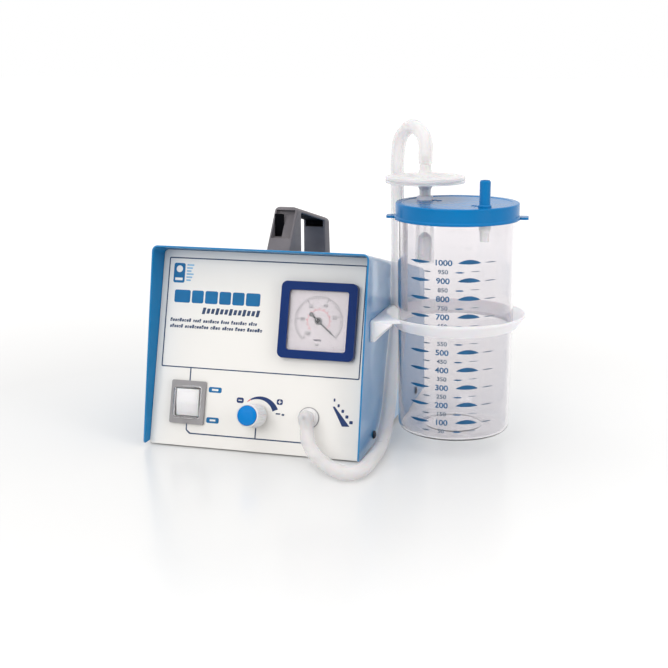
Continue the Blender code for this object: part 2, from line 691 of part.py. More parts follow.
def build_inlet_port():
    profile = [(2.7, 14.6), (3.0, 13.0), (2.7, 9.0), (2.7, 3.6),
               (6.6, 3.6), (6.6, 1.9), (9.0, 1.7), (9.0, 0.2), (4.9, 0.2), (4.9, -10.0),
               (2.4, -10.6), (2.4, -16.0), (1.8, -16.0), (1.8, 14.6)]
    port = turned("inlet_port", [(r * MM, z * MM) for r, z in profile], PORT_AT, PANEL, steps=20, ring=True)
    return paint(port, (0.55, 0.55, 0.56), 0.4)


# ---------------------------------------------------------------- jar, lid and holder

JAR_AT = (JAR_X, JAR_Y)


def build_jar():
    wall = JAR_WALL
    foot = 6.0 * MM
    inner_foot = foot - wall
    outer_corner = arc((JAR_R_BOTTOM - foot, JAR_BOTTOM + foot), foot, 0, -90, 4)
    inner_corner = arc((JAR_R_BOTTOM - foot, JAR_BOTTOM + foot), inner_foot, -90, 0, 3)
    push_up = 1.4 * MM
    inside = [(0, JAR_BOTTOM + push_up + wall), (26 * MM, JAR_BOTTOM + push_up + wall * 0.9),
              (31 * MM, JAR_BOTTOM + wall)] + inner_corner
    inside += [(JAR_R_TOP - wall, 188 * MM), (JAR_R_TOP - wall, JAR_RIM)]
    outside = [(JAR_R_TOP, JAR_RIM), (JAR_R_TOP + 0.3 * MM, JAR_RIM - 0.5 * MM),
               (JAR_R_TOP + 0.3 * MM, JAR_RIM - 3 * MM), (JAR_R_TOP, JAR_RIM - 3.4 * MM), (JAR_R_TOP, 188 * MM)]
    bottom = [(31 * MM, JAR_BOTTOM), (26 * MM, JAR_BOTTOM + push_up * 0.9), (0, JAR_BOTTOM + push_up)]
    jar = turned("jar", inside + outside + outer_corner + bottom, JAR_AT, steps=48)
    return paint(jar, *CLEAR)


def build_lid():
    roof = 1.8 * MM
    inner = JAR_R_TOP + 0.3 * MM + 0.5 * MM
    profile = [(0, LID_TOP), (LID_R - 1.0 * MM, LID_TOP), (LID_R - 0.2 * MM, LID_TOP - 0.4 * MM),
               (LID_R, LID_TOP - 1.2 * MM), (LID_R, LID_SKIRT + 2.6 * MM), (LID_R + 0.8 * MM, LID_SKIRT + 1.8 * MM),
               (LID_R + 0.8 * MM, LID_SKIRT), (inner, LID_SKIRT), (inner, LID_TOP - roof), (0, LID_TOP - roof)]
    lid = turned("jar_lid", profile, JAR_AT, steps=48)

    nozzle = [(0, LID_TOP + 21.4 * MM), (3.7 * MM, LID_TOP + 21.4 * MM), (4.35 * MM, LID_TOP + 20.4 * MM),
              (4.35 * MM, LID_TOP - 27 * MM), (0, LID_TOP - 27 * MM)]
    fuse(lid, turned("nozzle", nozzle, (NOZZLE_X, NOZZLE_Y), steps=24))
    fuse(lid, drum("port_boss", 6.6 * MM, LID_TOP - 1 * MM, LID_TOP + 2 * MM, (FILTER_X, FILTER_Y), steps=24))
    for turn in (radians(8), radians(188)):
        out = Matrix.Translation((JAR_X, JAR_Y, 0)) @ Matrix.Rotation(turn, 4, "Z")
        tab = block("lid_tab", (8.4 * MM, 12 * MM, 2.0 * MM), (LID_R + 3 * MM, 0, LID_SKIRT + 1.2 * MM), out)
        fuse(lid, round_edges(tab, 0.6 * MM, 1))
    carve(lid, drum("nozzle_bore", 2.7 * MM, LID_TOP - 40 * MM, LID_TOP + 40 * MM, (NOZZLE_X, NOZZLE_Y),
                    cutter=True, steps=20))
    carve(lid, drum("port_bore", 4.85 * MM, LID_TOP - 10 * MM, LID_TOP + 10 * MM, (FILTER_X, FILTER_Y),
                    cutter=True, steps=24))
    return paint(lid, *BLUE)


def build_lid_seal():
    low = JAR_RIM + 0.2 * MM
    high = LID_TOP - 1.8 * MM - 0.2 * MM
    profile = [(48.6 * MM, high), (48.6 * MM, low), (46.4 * MM, low), (46.4 * MM, high)]
    return paint(turned("lid_seal", profile, JAR_AT, steps=36, ring=True), *RUBBER)


def build_float_valve():
    top = LID_TOP - 1.8 * MM - GAP
    low = CAGE_BOTTOM
    profile = [(8.0 * MM, top), (8.0 * MM, low), (4.4 * MM, low), (4.4 * MM, low + 1.4 * MM),
               (6.8 * MM, low + 1.4 * MM), (6.8 * MM, top)]
    cage = turned("float_cage", profile, (FILTER_X, FILTER_Y), steps=24, ring=True)
    for turn in (radians(20), radians(80), radians(140)):
        across = Matrix.Translation((FILTER_X, FILTER_Y, 0)) @ Matrix.Rotation(turn, 4, "Z")
        carve(cage, block("cage_window", (30 * MM, 4 * MM, 26 * MM), (0, 0, low + 21 * MM), across, True))
    paint(cage, *FROSTED)

    rest = low + 1.8 * MM
    body = [(0, 24), (1.6, 24), (5.9, 20), (5.9, 0), (4.7, 0), (4.7, 19), (1.2, 21.6), (0, 21.6)]
    ball = turned("float", [(r * MM, rest + z * MM) for r, z in body], (FILTER_X, FILTER_Y), steps=20)
    return paint(ball, *WHITE)


def build_filter():
    at = (FILTER_X, FILTER_Y)
    lower = [(33.0, -0.1), (33.0, -1.6), (31.6, -1.9), (12.0, -3.4), (6.4, -5.2), (4.8, -8.4), (4.55, -14.0),
             (4.4, -22.0), (2.5, -22.0), (2.5, -7.0), (5.2, -3.6), (12.0, -1.9), (30.2, -0.9), (30.2, -0.1)]
    upper = [(2.8, 19.0), (3.0, 18.0), (3.0, 12.4), (4.6, 12.2), (4.8, 8.0), (6.4, 5.2), (12.0, 3.4), (31.6, 1.9),
             (33.0, 1.6), (33.0, 0.1), (30.2, 0.1), (30.2, 0.9), (12.0, 1.9), (5.2, 3.6), (2.0, 6.6), (2.0, 19.0)]
    for name, profile in (("filter_lower_shell", lower), ("filter_upper_shell", upper)):
        shell = turned(name, [(r * MM, FILTER_MID + z * MM) for r, z in profile], at, steps=32, ring=True)
        paint(shell, *FROSTED)
    membrane = drum("filter_membrane", 29.8 * MM, FILTER_MID - 0.3 * MM, FILTER_MID + 0.3 * MM, at, steps=32)
    return paint(membrane, (0.9, 0.9, 0.88), 0.9)


def build_holder():
    """One moulding: a flared collar for the jar, a web, and a flange screwed to the case's side."""
    side_x = CASE_W / 2 + GAP
    flange_t = 3.0 * MM
    low_z = 94.0 * MM
    web_low = 109.2 * MM
    web_high = 111.9 * MM
    flange_top = web_high - 0.4 * MM
    flange = block("jar_holder", (flange_t, 2 * HOLDER_HALF_LENGTH, flange_top - low_z),
                   (side_x + flange_t / 2, JAR_Y, (flange_top + low_z) / 2))
    root = HOLDER_HALF_LENGTH
    neck = root - 6 * MM
    web_x = side_x + 0.4 * MM
    web_points = [(web_x, JAR_Y - root), (web_x + 21.5 * MM, JAR_Y - neck), (web_x + 34 * MM, JAR_Y - 34 * MM),
                  (web_x + 34 * MM, JAR_Y + 34 * MM), (web_x + 21.5 * MM, JAR_Y + neck), (web_x, JAR_Y + root)]
    web = plate("holder_web", [web_points], web_low, web_high)
    opening = drum("holder_opening", COLLAR_R - 1.6 * MM, 90 * MM, 130 * MM, JAR_AT, cutter=True, steps=48)
    carve(web, opening)
    collar = [(COLLAR_R, COLLAR_TOP), (COLLAR_R - 0.4 * MM, COLLAR_TOP - 2.0 * MM),
              (50.6 * MM, COLLAR_BOTTOM), (47.9 * MM, COLLAR_BOTTOM), (48.2 * MM, COLLAR_BOTTOM + 2.6 * MM),
              (COLLAR_R - 2.2 * MM, COLLAR_TOP - 0.6 * MM), (COLLAR_R - 1.4 * MM, COLLAR_TOP)]
    ring = turned("holder_collar", collar, JAR_AT, steps=48, ring=True)
    fuse(flange, web, ring)
    for y in (JAR_Y - root + 0.4 * MM, JAR_Y + root - 3.4 * MM):
        corner = [(web_x, low_z + 0.4 * MM), (web_x + 18 * MM, web_low + 1 * MM), (web_x, web_low + 1 * MM)]
        fuse(flange, plate("holder_gusset", [corner], -y - 3 * MM, -y, FRONT))
    slot = drum("hose_slot", HOSE_R + 0.7 * MM, 80 * MM, 130 * MM, (HOSE_X, HOSE_Y), cutter=True, steps=20)
    mouth = block("hose_mouth", (HOSE_X - side_x + 2 * MM, 2 * HOSE_R + 1.0 * MM, 50 * MM),
                  ((side_x + HOSE_X) / 2 - 1 * MM, HOSE_Y, 105 * MM), cutter=True)
    carve(flange, slot, mouth)
    for name, y in (("holder_screw_front", HOLDER_SCREW_Y[0]), ("holder_screw_rear", HOLDER_SCREW_Y[1])):
        hole = drum("holder_screw_hole", 2.2 * MM, 0, CASE_W, (y, HOLDER_SCREW_Z), SIDE, True, steps=12)
        carve(flange, hole)
        build_side_screw(name, 1, (side_x + flange_t + 0.2 * MM, y, HOLDER_SCREW_Z), 9.0)
    return paint(flange, *FROSTED)


def build_hoses():
    """The suction hose. It is parted at a level above the holder, so the upper length rides on the lid."""
    port = [panel_point(PORT_AT, w * MM) for w in (4.0, 10.0, 16.0)]
    floor = 6.2
    drop = [(47.2, -4.5, 36.4), (48.8, -11.0, 32.0), (52.0, -14.0, 23.4), (57.5, -17.5, 14.5), (66.5, -21.5, 8.6)]
    sweep = [(78.5, -28, floor), (90, -34, floor), (98.5, -31, floor), (101.4, -19, floor), (101.8, 5, floor),
             (102, 30, floor), (101.6, 52, 6.5), (100.4, 72, 8.0), (99.8, 90, 13.0), (99.7, 102, 23.0)]
    rise = [(HOSE_X, HOSE_Y - 0.5 * MM, 37 * MM), (HOSE_X, HOSE_Y, 54 * MM), (HOSE_X, HOSE_Y, HOSE_SPLIT - GAP / 2)]
    points = port + [(x * MM, y * MM, z * MM) for x, y, z in drop + sweep] + rise
    lower = hose("hose_lower", points, HOSE_R, HOSE_BORE)
    paint(lower, *FROSTED)

    lean = [(98.4, 111.5, 171), (96.0, 121, 193), (94.0, 128.5, 215), (93.8, 130.2, 234), (97.2, 127.2, 250),
            (108.5, 117.5, 260.5), (119.4, 106.5, 255.5), (123.5, 101.8, 248.0)]
    tail = [(FILTER_X, FILTER_Y, FILTER_MID + lift * MM) for lift in (22, 17, 12.7)]
    start = [(HOSE_X, HOSE_Y, HOSE_SPLIT + GAP / 2), (HOSE_X - 0.1 * MM, HOSE_Y + 0.6 * MM, HOSE_SPLIT + 7 * MM)]
    points = start + [(x * MM, y * MM, z * MM) for x, y, z in lean] + tail
    upper = hose("hose_upper", points, HOSE_R, HOSE_BORE)
    return paint(upper, *FROSTED)


# ---------------------------------------------------------------- motor and pump

def build_pump():
    axle = frame_of((1, 0, 0), (0, 0, 1), (0, -1, 0), (MOTOR_X, 0, MOTOR_Z))

    base = block("pump_base", (104 * MM, 126 * MM, 2 * MM), (MOTOR_X, 146 * MM, PUMP_BASE_Z + 1 * MM))
    paint(base, *STEEL)
    for name, side, y in (("damper_front_left", -1, 92), ("damper_front_right", 1, 92),
                          ("damper_rear_left", -1, 200), ("damper_rear_right", 1, 200)):
        profile = [(5.0, 6.2), (6.0, 3.1), (5.0, 0), (0, 0)]
        points = [(0, PUMP_BASE_Z - GAP)] + [(r * MM, 5.5 * MM + GAP + z * MM * 0.93) for r, z in profile]
        damper = turned(name, points, (MOTOR_X + side * 44 * MM, y * MM), steps=12)
        paint(damper, *RUBBER)

    stack = rounded(76 * MM, 76 * MM, 4 * MM, steps=3)
    stator = plate("motor_stator", [stack, circle(22.5 * MM, steps=36)], -178 * MM, -138 * MM, axle)
    foot = block("motor_foot", (76 * MM, 40 * MM, 14 * MM), (MOTOR_X, 158 * MM, PUMP_BASE_Z + 2.3 * MM + 7 * MM))
    coil = block("motor_coil", (24 * MM, 62 * MM, 30 * MM), (MOTOR_X + 42 * MM, 158 * MM, MOTOR_Z))
    fuse(stator, foot, round_edges(coil, 4 * MM, 2))
    paint(stator, *STEEL)
    build_rotor(axle)
    build_piston()
    return build_cylinder()


def build_rotor(axle):
    rotor = drum("motor_rotor", 22.0 * MM, -180 * MM, -136 * MM, frame=axle, steps=32)
    shaft = drum("rotor_shaft", 4.0 * MM, -212 * MM, -92 * MM, frame=axle, steps=16)
    fuse(rotor, shaft)
    paint(rotor, *STEEL)

    fan = drum("fan", 9 * MM, -206 * MM, -194 * MM, frame=axle, steps=24)
    for index in range(7):
        turn = Matrix.Rotation(2 * pi * index / 7, 4, "Z")
        pitch = Matrix.Rotation(radians(35), 4, "X")
        blade_frame = axle @ Matrix.Translation((0, 0, -200 * MM)) @ turn @ Matrix.Translation((21 * MM, 0, 0))
        fuse(fan, block("fan_blade", (28 * MM, 13 * MM, 1.6 * MM), (0, 0, 0), blade_frame @ pitch))
    carve(fan, drum("fan_bore", 4.2 * MM, -220 * MM, -190 * MM, frame=axle, cutter=True, steps=16))
    paint(fan, *DARK_GREY)

    weight = plate("crank_eccentric", [circle(10 * MM, (0, ECCENTRIC), 28), circle(4.2 * MM, steps=16)],
                   -PUMP_Y - 4 * MM, -PUMP_Y + 4 * MM, axle)
    return paint(weight, *STEEL)


def build_piston():
    """Piston and rod in one piece, as on a wobble piston pump, set at the bottom of its stroke."""
    axle = frame_of((1, 0, 0), (0, 0, 1), (0, -1, 0), (MOTOR_X, 0, MOTOR_Z))
    ring = plate("piston", [circle(19 * MM, steps=32), circle(10 * MM + ECCENTRIC + 0.6 * MM, steps=32)],
                 -PUMP_Y - 3 * MM, -PUMP_Y + 3 * MM, axle)
    stalk = block("piston_rod", (9 * MM, 6 * MM, 28 * MM), (MOTOR_X, PUMP_Y, MOTOR_Z + 29 * MM))
    crown = drum("piston_crown", 13.6 * MM, MOTOR_Z + 39 * MM, MOTOR_Z + 45 * MM, (MOTOR_X, PUMP_Y), steps=28)
    fuse(ring, stalk, crown)
    return paint(ring, *ALUMINIUM)


def build_cylinder():
    """Cylinder and its bracket in one casting, the head on top, and the silencer on the outlet."""
    at = (MOTOR_X, PUMP_Y)
    low, high = MOTOR_Z + 34 * MM, MOTOR_Z + 56 * MM
    tube = [(17 * MM, high), (17 * MM, low), (14 * MM, low), (14 * MM, high)]
    cylinder = turned("pump_cylinder", tube, at, steps=32, ring=True)
    leg_low = PUMP_BASE_Z + 2.3 * MM
    for side in (-1, 1):
        leg = block("cylinder_leg", (4 * MM, 16 * MM, low + 6 * MM - leg_low),
                    (MOTOR_X + side * 25 * MM, PUMP_Y, (low + 6 * MM + leg_low) / 2))
        arm = block("cylinder_arm", (12 * MM, 16 * MM, 5 * MM), (MOTOR_X + side * 21 * MM, PUMP_Y, low + 6 * MM))
        fuse(cylinder, leg, arm)
    paint(cylinder, *ALUMINIUM)

    head = block("cylinder_head", (38 * MM, 38 * MM, 12 * MM), (*at, high + GAP + 6 * MM))
    round_edges(head, 2 * MM, 2)
    for side in (-1, 1):
        out = frame_of((0, side, 0), (0, 0, 1), (side, 0, 0), (MOTOR_X, PUMP_Y, high + 7 * MM))
        fuse(head, drum("head_barb", 2.4 * MM, 16 * MM, 26 * MM, frame=out, steps=12))
    paint(head, *ALUMINIUM)

    out = frame_of((0, -1, 0), (0, 0, 1), (-1, 0, 0), (MOTOR_X - 31 * MM, PUMP_Y, high + 7 * MM))
    body = [(0, 26), (6.0, 26), (7.5, 24), (7.5, 2), (6.0, 0), (2.9, 0), (2.9, -0.6), (2.4, -0.6), (2.4, 1), (0, 1)]
    silencer = turned("silencer", [(r * MM, z * MM) for r, z in body], frame=out, steps=16)
    return paint(silencer, *RUBBER)


def build_inner_hoses():
    """Silicone hoses: inlet to regulator, regulator to pump head."""
    outer, bore = 4.6 * MM, 3.0 * MM
    rear = [panel_point(KNOB_AT, w * MM) for w in (-30, -38, -44)]
    bend = [(7, 69, 21), (22, 74, 25), (38, 68, 27)]
    port = [panel_point(PORT_AT, w * MM) for w in (-32, -22, -12)]
    points = rear + [(x * MM, y * MM, z * MM) for x, y, z in bend] + port
    paint(hose("inner_hose_inlet", points, outer, bore), *FROSTED)

    side_w = -15.4 * MM
    side = [panel_point((KNOB_AT[0] + u * MM, KNOB_AT[1]), side_w) for u in (-12, -20, -27)]
    run = [(-39, 41, 31), (-42, 54, 46), (-40, 64, 70), (-26, 67, 98), (0, 68, 118), (18, 72, 127),
           (32, 79, 128), (33, 91, 127.5)]
    head_z = MOTOR_Z + 63 * MM
    end = [(x * MM, PUMP_Y, head_z) for x in (23, 16, 9)]
    return paint(hose("inner_hose_pump", side + [(x * MM, y * MM, z * MM) for x, y, z in run] + end,
                      outer, bore), *FROSTED)


def build_mains():
    """Mains inlet with its three blades and a fuse drawer, on the rear panel."""
    back = frame_of((-1, 0, 0), (0, 0, 1), (0, 1, 0), (-60 * MM, REAR_PANEL_Y + SHEET, 40 * MM))
    inlet = plate("mains_inlet", [rounded(31 * MM, 24 * MM, 3 * MM, steps=3)], 0.2 * MM, 2.2 * MM, back)
    body = block("inlet_body", (27 * MM, 19.8 * MM, 18 * MM), (0, 0, -8 * MM), back)
    fuse(inlet, body)
    carve(inlet, block("inlet_socket", (23 * MM, 15.5 * MM, 18 * MM), (0, 0, -5.8 * MM), back, True))
    for u, v in ((-7, -1.5), (0, 3), (7, -1.5)):
        fuse(inlet, block("inlet_blade", (1.6 * MM, 4 * MM, 15 * MM), (u * MM, v * MM, -8.5 * MM), back))
    fuse(inlet, block("fuse_drawer", (24 * MM, 8 * MM, 19 * MM), (0, 17.6 * MM, -6.5 * MM), back))
    fuse(inlet, block("drawer_bridge", (31 * MM, 12 * MM, 2 * MM), (0, 16.6 * MM, 1.2 * MM), back))
    return paint(inlet, *RUBBER)


build_case()
build_gauge()
build_switch()
build_regulator()
build_inlet_port()
build_jar()
build_lid()
build_lid_seal()
build_float_valve()
build_filter()
build_holder()
build_hoses()
build_pump()
build_inner_hoses()
build_mains()
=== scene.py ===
"""Suction pump, visual model.

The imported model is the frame. Every piece here rides on one of its bodies and takes its place from a node.
The scene is in metres, +Z up. Turned profiles, plates and print are written in millimetres. On the control
panel, u runs across, v up the slope and w outwards.
"""
import json
from math import cos, pi, radians, sin, tan

import bmesh
import bpy
from mathutils import Matrix, Vector


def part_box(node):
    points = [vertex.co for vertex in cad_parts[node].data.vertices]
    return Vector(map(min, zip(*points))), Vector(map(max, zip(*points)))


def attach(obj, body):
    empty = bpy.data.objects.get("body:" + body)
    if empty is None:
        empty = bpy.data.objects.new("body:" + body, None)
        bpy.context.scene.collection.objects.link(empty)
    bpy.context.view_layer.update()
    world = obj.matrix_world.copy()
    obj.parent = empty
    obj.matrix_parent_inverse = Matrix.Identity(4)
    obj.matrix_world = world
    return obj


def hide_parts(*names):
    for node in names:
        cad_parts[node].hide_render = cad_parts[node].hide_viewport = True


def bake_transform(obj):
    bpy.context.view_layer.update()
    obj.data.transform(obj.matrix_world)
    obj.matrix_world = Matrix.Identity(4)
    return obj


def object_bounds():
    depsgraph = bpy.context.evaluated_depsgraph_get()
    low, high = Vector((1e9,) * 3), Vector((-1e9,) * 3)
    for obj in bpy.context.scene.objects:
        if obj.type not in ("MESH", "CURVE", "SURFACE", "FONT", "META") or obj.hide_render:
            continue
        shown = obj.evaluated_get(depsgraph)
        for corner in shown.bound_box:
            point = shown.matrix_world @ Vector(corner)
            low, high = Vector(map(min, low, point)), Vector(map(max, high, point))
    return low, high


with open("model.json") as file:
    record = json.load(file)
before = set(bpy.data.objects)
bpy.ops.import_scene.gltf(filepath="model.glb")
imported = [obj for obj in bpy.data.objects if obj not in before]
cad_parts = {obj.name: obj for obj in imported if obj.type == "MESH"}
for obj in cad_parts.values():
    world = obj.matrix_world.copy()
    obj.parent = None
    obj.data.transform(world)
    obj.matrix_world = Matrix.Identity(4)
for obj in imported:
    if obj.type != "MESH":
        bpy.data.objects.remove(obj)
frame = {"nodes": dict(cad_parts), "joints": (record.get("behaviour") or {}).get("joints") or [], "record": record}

CAD_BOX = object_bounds()
MM = 0.001
RECORD = frame["record"]
BODY_OF = {node: body for body, nodes in RECORD["behaviour"]["bodies"].items() for node in nodes}

# Case: slopes as ratios, and sizes in metres
FRONT_LEAN = 0.20
REAR_LEAN = 0.042
TOP_SLOPE = 0.225
SHEET = 1.5 * MM
TOP_BEND = 5 * MM
PANEL_TUCK = 2 * MM
PANEL_T = 2 * MM
PANEL_CORNER = 3.6 * MM

# Panel print and dial, in millimetres and degrees
BORDER_FOOT = 63.3
DIAL_TOP = 1.5
DIAL_START = -40
DIAL_SWEEP = 270

# Jar and lid, in millimetres
JAR_R_TOP = 48.5
JAR_R_BOTTOM = 46.5
JAR_WALL = 2.0
JAR_NECK = 11.6
LID_R = 50.6
LID_RISE = 4.0
LID_DEPTH = 13.5
NOZZLE_RISE = 21.4
SCALE_ZERO = 14.7
SCALE_STEP = 7.31
SCALE_LEVELS = 20

# Hose, print layers and mesh work, in metres and degrees. Figures are made bolder by a share of their size.
HOSE_R = 5.8 * MM
HOSE_BORE = 4.2 * MM
INK_T = 0.06 * MM
INK_GAP = 0.02 * MM
WELD = 0.001 * MM
SHARP_ANGLE = 35
FIGURE_WEIGHT = 0.022

# Rays that come straight from the camera, or from it through a clear wall
DIRECT = ("Is Camera Ray", "Is Transmission Ray")


# ---------------------------------------------------------------- places taken from the frame

def frame_of(across, up, out, origin=(0, 0, 0)):
    """A frame whose local X, Y and Z run along the three given directions."""
    columns = Matrix((across, up, out)).transposed().to_4x4()
    return Matrix.Translation(origin) @ columns


def joint(name):
    """A joint of the frame."""
    return next(j for j in frame["joints"] if j["name"] == name)


def reach(node, direction):
    """Least and greatest distance of a node's points along a direction."""
    along = [direction.dot(v.co) for v in frame["nodes"][node].data.vertices]
    return min(along), max(along)


ACROSS = Vector((1, 0, 0))
OUT = Vector(joint("regulator_turn")["axis"]).normalized()
UP = OUT.cross(ACROSS)
FROM_FRONT = frame_of((1, 0, 0), (0, 0, 1), (0, -1, 0))
FROM_RIGHT = frame_of((0, 1, 0), (0, 0, 1), (1, 0, 0))


def panel_frame():
    left, right = reach("front_panel", ACROSS)
    foot = reach("front_panel", UP)[0] + PANEL_TUCK
    face = reach("front_panel", OUT)[1]
    return frame_of(ACROSS, UP, OUT, ACROSS * (left + right) / 2 + UP * foot + OUT * face)


PANEL = panel_frame()


def panel_spot(node):
    """Middle of a node in the panel's u and v."""
    inverse = PANEL.inverted()
    points = [inverse @ v.co for v in frame["nodes"][node].data.vertices]
    u = [p.x for p in points]
    v = [p.y for p in points]
    return Vector(((min(u) + max(u)) / 2, (min(v) + max(v)) / 2))


def on_panel(spot):
    """The panel's frame, moved to one of its spots."""
    return PANEL @ Matrix.Translation((*spot, 0))


def upright(spot, z=0.0):
    """An upright frame over a spot, at a height."""
    return Matrix.Translation((spot.x, spot.y, z))


def middle(node):
    """Middle of a node's box."""
    low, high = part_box(node)
    return (low + high) / 2


GAUGE = panel_spot("gauge_bezel")
SWITCH = panel_spot("switch_housing")
KNOB = panel_spot("knob_cap")
PORT = panel_spot("inlet_port")
JAR = middle("jar")
JAR_LOW, JAR_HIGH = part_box("jar")
FILTER = middle("filter_upper_shell")
FILTER_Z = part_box("filter_lower_shell")[1].z + 0.1 * MM
NOZZLE = JAR.xy + Vector((27.5, -30.7)) * MM
LID_TOP = JAR_HIGH.z + LID_RISE * MM
HOSE_LINE = JAR.xy + Vector((-53.8, 19.2)) * MM
HOSE_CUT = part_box("hose_lower")[1].z


# ---------------------------------------------------------------- mesh helpers

def in_mm(points):
    """Points given in millimetres, as metres."""
    return [tuple(c * MM for c in point) for point in points]


def link_new(name, data):
    """A new object in the scene."""
    obj = bpy.data.objects.new(name, data)
    bpy.context.scene.collection.objects.link(obj)
    return obj


def object_of(name, bm):
    """A new object from a bmesh, which is freed."""
    mesh = bpy.data.meshes.new(name)
    bm.to_mesh(mesh)
    bm.free()
    return link_new(name, mesh)


def add(name, bm, place=None):
    """A new object from a bmesh that is moved to its place, with its faces turned outwards."""
    if place is not None:
        bm.transform(place)
    bmesh.ops.recalc_face_normals(bm, faces=bm.faces)
    return object_of(name, bm)


def bake(obj):
    """Applies the modifiers of an object."""
    depsgraph = bpy.context.evaluated_depsgraph_get()
    mesh = bpy.data.meshes.new_from_object(obj.evaluated_get(depsgraph))
    obj.modifiers.clear()
    obj.data = mesh
    return obj


def smooth(obj, angle=30):
    """Shades an object smooth, apart from edges sharper than an angle."""
    obj.data.shade_smooth()
    obj.data.set_sharp_from_angle(angle=radians(angle))
    return obj


def bevel_edges(obj, width, segments, angle):
    """Adds a modifier that rounds the edges sharper than an angle and keeps flat faces flat."""
    smooth(obj, angle)
    bevel = obj.modifiers.new("soft_edges", "BEVEL")
    bevel.width = width
    bevel.segments = segments
    bevel.limit_method = "ANGLE"
    bevel.angle_limit = radians(angle)
    bevel.harden_normals = True


def soften(obj, width, segments=3, angle=35):
    """Rounds the sharp edges of an object."""
    bevel_edges(obj, width, segments, angle)
    return bake(obj)


def combine(obj, other, operation="UNION"):
    """Joins another object to this one, or cuts it away, and removes the other."""
    boolean = obj.modifiers.new(operation.lower(), "BOOLEAN")
    boolean.operation = operation
    boolean.object = other
    bpy.context.view_layer.update()
    bake(obj)
    bpy.data.objects.remove(other)
    return obj


def arc(centre, radius, start, end, steps):
    """Points along an arc between two angles in degrees."""
    turns = [radians(start + (end - start) * k / steps) for k in range(steps + 1)]
    return [(centre[0] + radius * cos(a), centre[1] + radius * sin(a)) for a in turns]


def circle(centre, radius, steps=48):
    return arc(centre, radius, 0, 360, steps)[:-1]


def rounded(centre, width, height, radius, steps=6):
    """A rounded rectangle."""
    x, y = width / 2 - radius, height / 2 - radius
    corners = ((x, y, 0), (-x, y, 90), (-x, -y, 180), (x, -y, 270))
    points = []
    for cx, cy, start in corners:
        points += arc((centre[0] + cx, centre[1] + cy), radius, start, start + 90, steps)
    return points


def round_corners(points, radius, steps=4, closed=False):
    """Rounds the corners of an outline. A third number in a point is its own radius."""
    least_angle = 0.05
    most_of_side = 0.48
    result = []
    for index, point in enumerate(points):
        own = point[2] if len(point) > 2 else radius
        here = Vector(point[:2])
        if own == 0 or (not closed and index in (0, len(points) - 1)):
            result.append(here)
            continue
        back = Vector(points[index - 1][:2]) - here
        ahead = Vector(points[(index + 1) % len(points)][:2]) - here
        half_angle = max(back.angle(ahead) / 2, least_angle)
        run = min(own / tan(half_angle), back.length * most_of_side, ahead.length * most_of_side)
        first = here + back.normalized() * run
        last = here + ahead.normalized() * run
        for k in range(steps + 1):
            t = k / steps
            result.append(first * (1 - t) ** 2 + here * (2 * t * (1 - t)) + last * t ** 2)
    return result


def turned(name, profile, place, corner=0.3, steps=64, ring=False, arc_steps=4, shape=None):
    """Turns a profile of (radius, height) in millimetres round the local Z, with its corners rounded.

    A third number in a point is its own rounding. A ring is closed. shape can change a radius by angle."""
    bm = bmesh.new()
    rows = []
    for r, z in round_corners(in_mm(profile), corner * MM, arc_steps, ring):
        if r < WELD:
            rows.append([bm.verts.new((0, 0, z))] * steps)
            continue
        row = []
        for k in range(steps):
            a = 2 * pi * k / steps
            own = shape(r, z, a) if shape else r
            row.append(bm.verts.new((own * cos(a), own * sin(a), z)))
        rows.append(row)
    pairs = list(zip(rows, rows[1:]))
    if ring:
        pairs.append((rows[-1], rows[0]))
    for upper, lower in pairs:
        for k in range(steps):
            n = (k + 1) % steps
            corners = [upper[k], lower[k], lower[n], upper[n]]
            corners = [c for i, c in enumerate(corners) if c not in corners[:i]]
            if len(corners) > 2:
                bm.faces.new(corners)
    return smooth(add(name, bm, place))


def thicken(obj, thickness, even=False):
    """Gives a sheet its thickness, on its inner side."""
    solid = obj.modifiers.new("sheet", "SOLIDIFY")
    solid.thickness = thickness
    solid.offset = -1
    solid.use_even_offset = even
    return bake(obj)


def mesh_from(curve):
    """The mesh of a curve or a text."""
    holder = link_new("drawing", curve)
    depsgraph = bpy.context.evaluated_depsgraph_get()
    mesh = bpy.data.meshes.new_from_object(holder.evaluated_get(depsgraph))
    bpy.data.objects.remove(holder)
    return mesh


def slab(name, outlines, low, high, place=None, rim=0.0):
    """A plate between two levels of the local Z, with its rims rounded. Outlines inside another are holes."""
    curve = bpy.data.curves.new(name, "CURVE")
    curve.dimensions = "2D"
    curve.fill_mode = "BOTH"
    curve.extrude = (high - low) / 2 - rim
    curve.bevel_depth = rim
    curve.bevel_resolution = 4
    curve.offset = -rim
    for outline in outlines:
        spline = curve.splines.new("POLY")
        spline.points.add(len(outline) - 1)
        spline.use_cyclic_u = True
        for point, (x, y) in zip(spline.points, outline):
            point.co = (x, y, 0, 1)
    bm = bmesh.new()
    bm.from_mesh(mesh_from(curve))
    bmesh.ops.remove_doubles(bm, verts=bm.verts, dist=WELD)
    bm.transform(Matrix.Translation((0, 0, (low + high) / 2)))
    return add(name, bm, place)


def plate(name, outlines, low, high, place=None):
    """A slab given in millimetres."""
    return slab(name, [in_mm(outline) for outline in outlines], low * MM, high * MM, place)


def block(name, size, centre, place=None):
    """A box given in millimetres."""
    x, y, z = centre
    outline = rounded((x, y), size[0], size[1], min(size[:2]) * 0.02, 1)
    return plate(name, [outline], z - size[2] / 2, z + size[2] / 2, place)


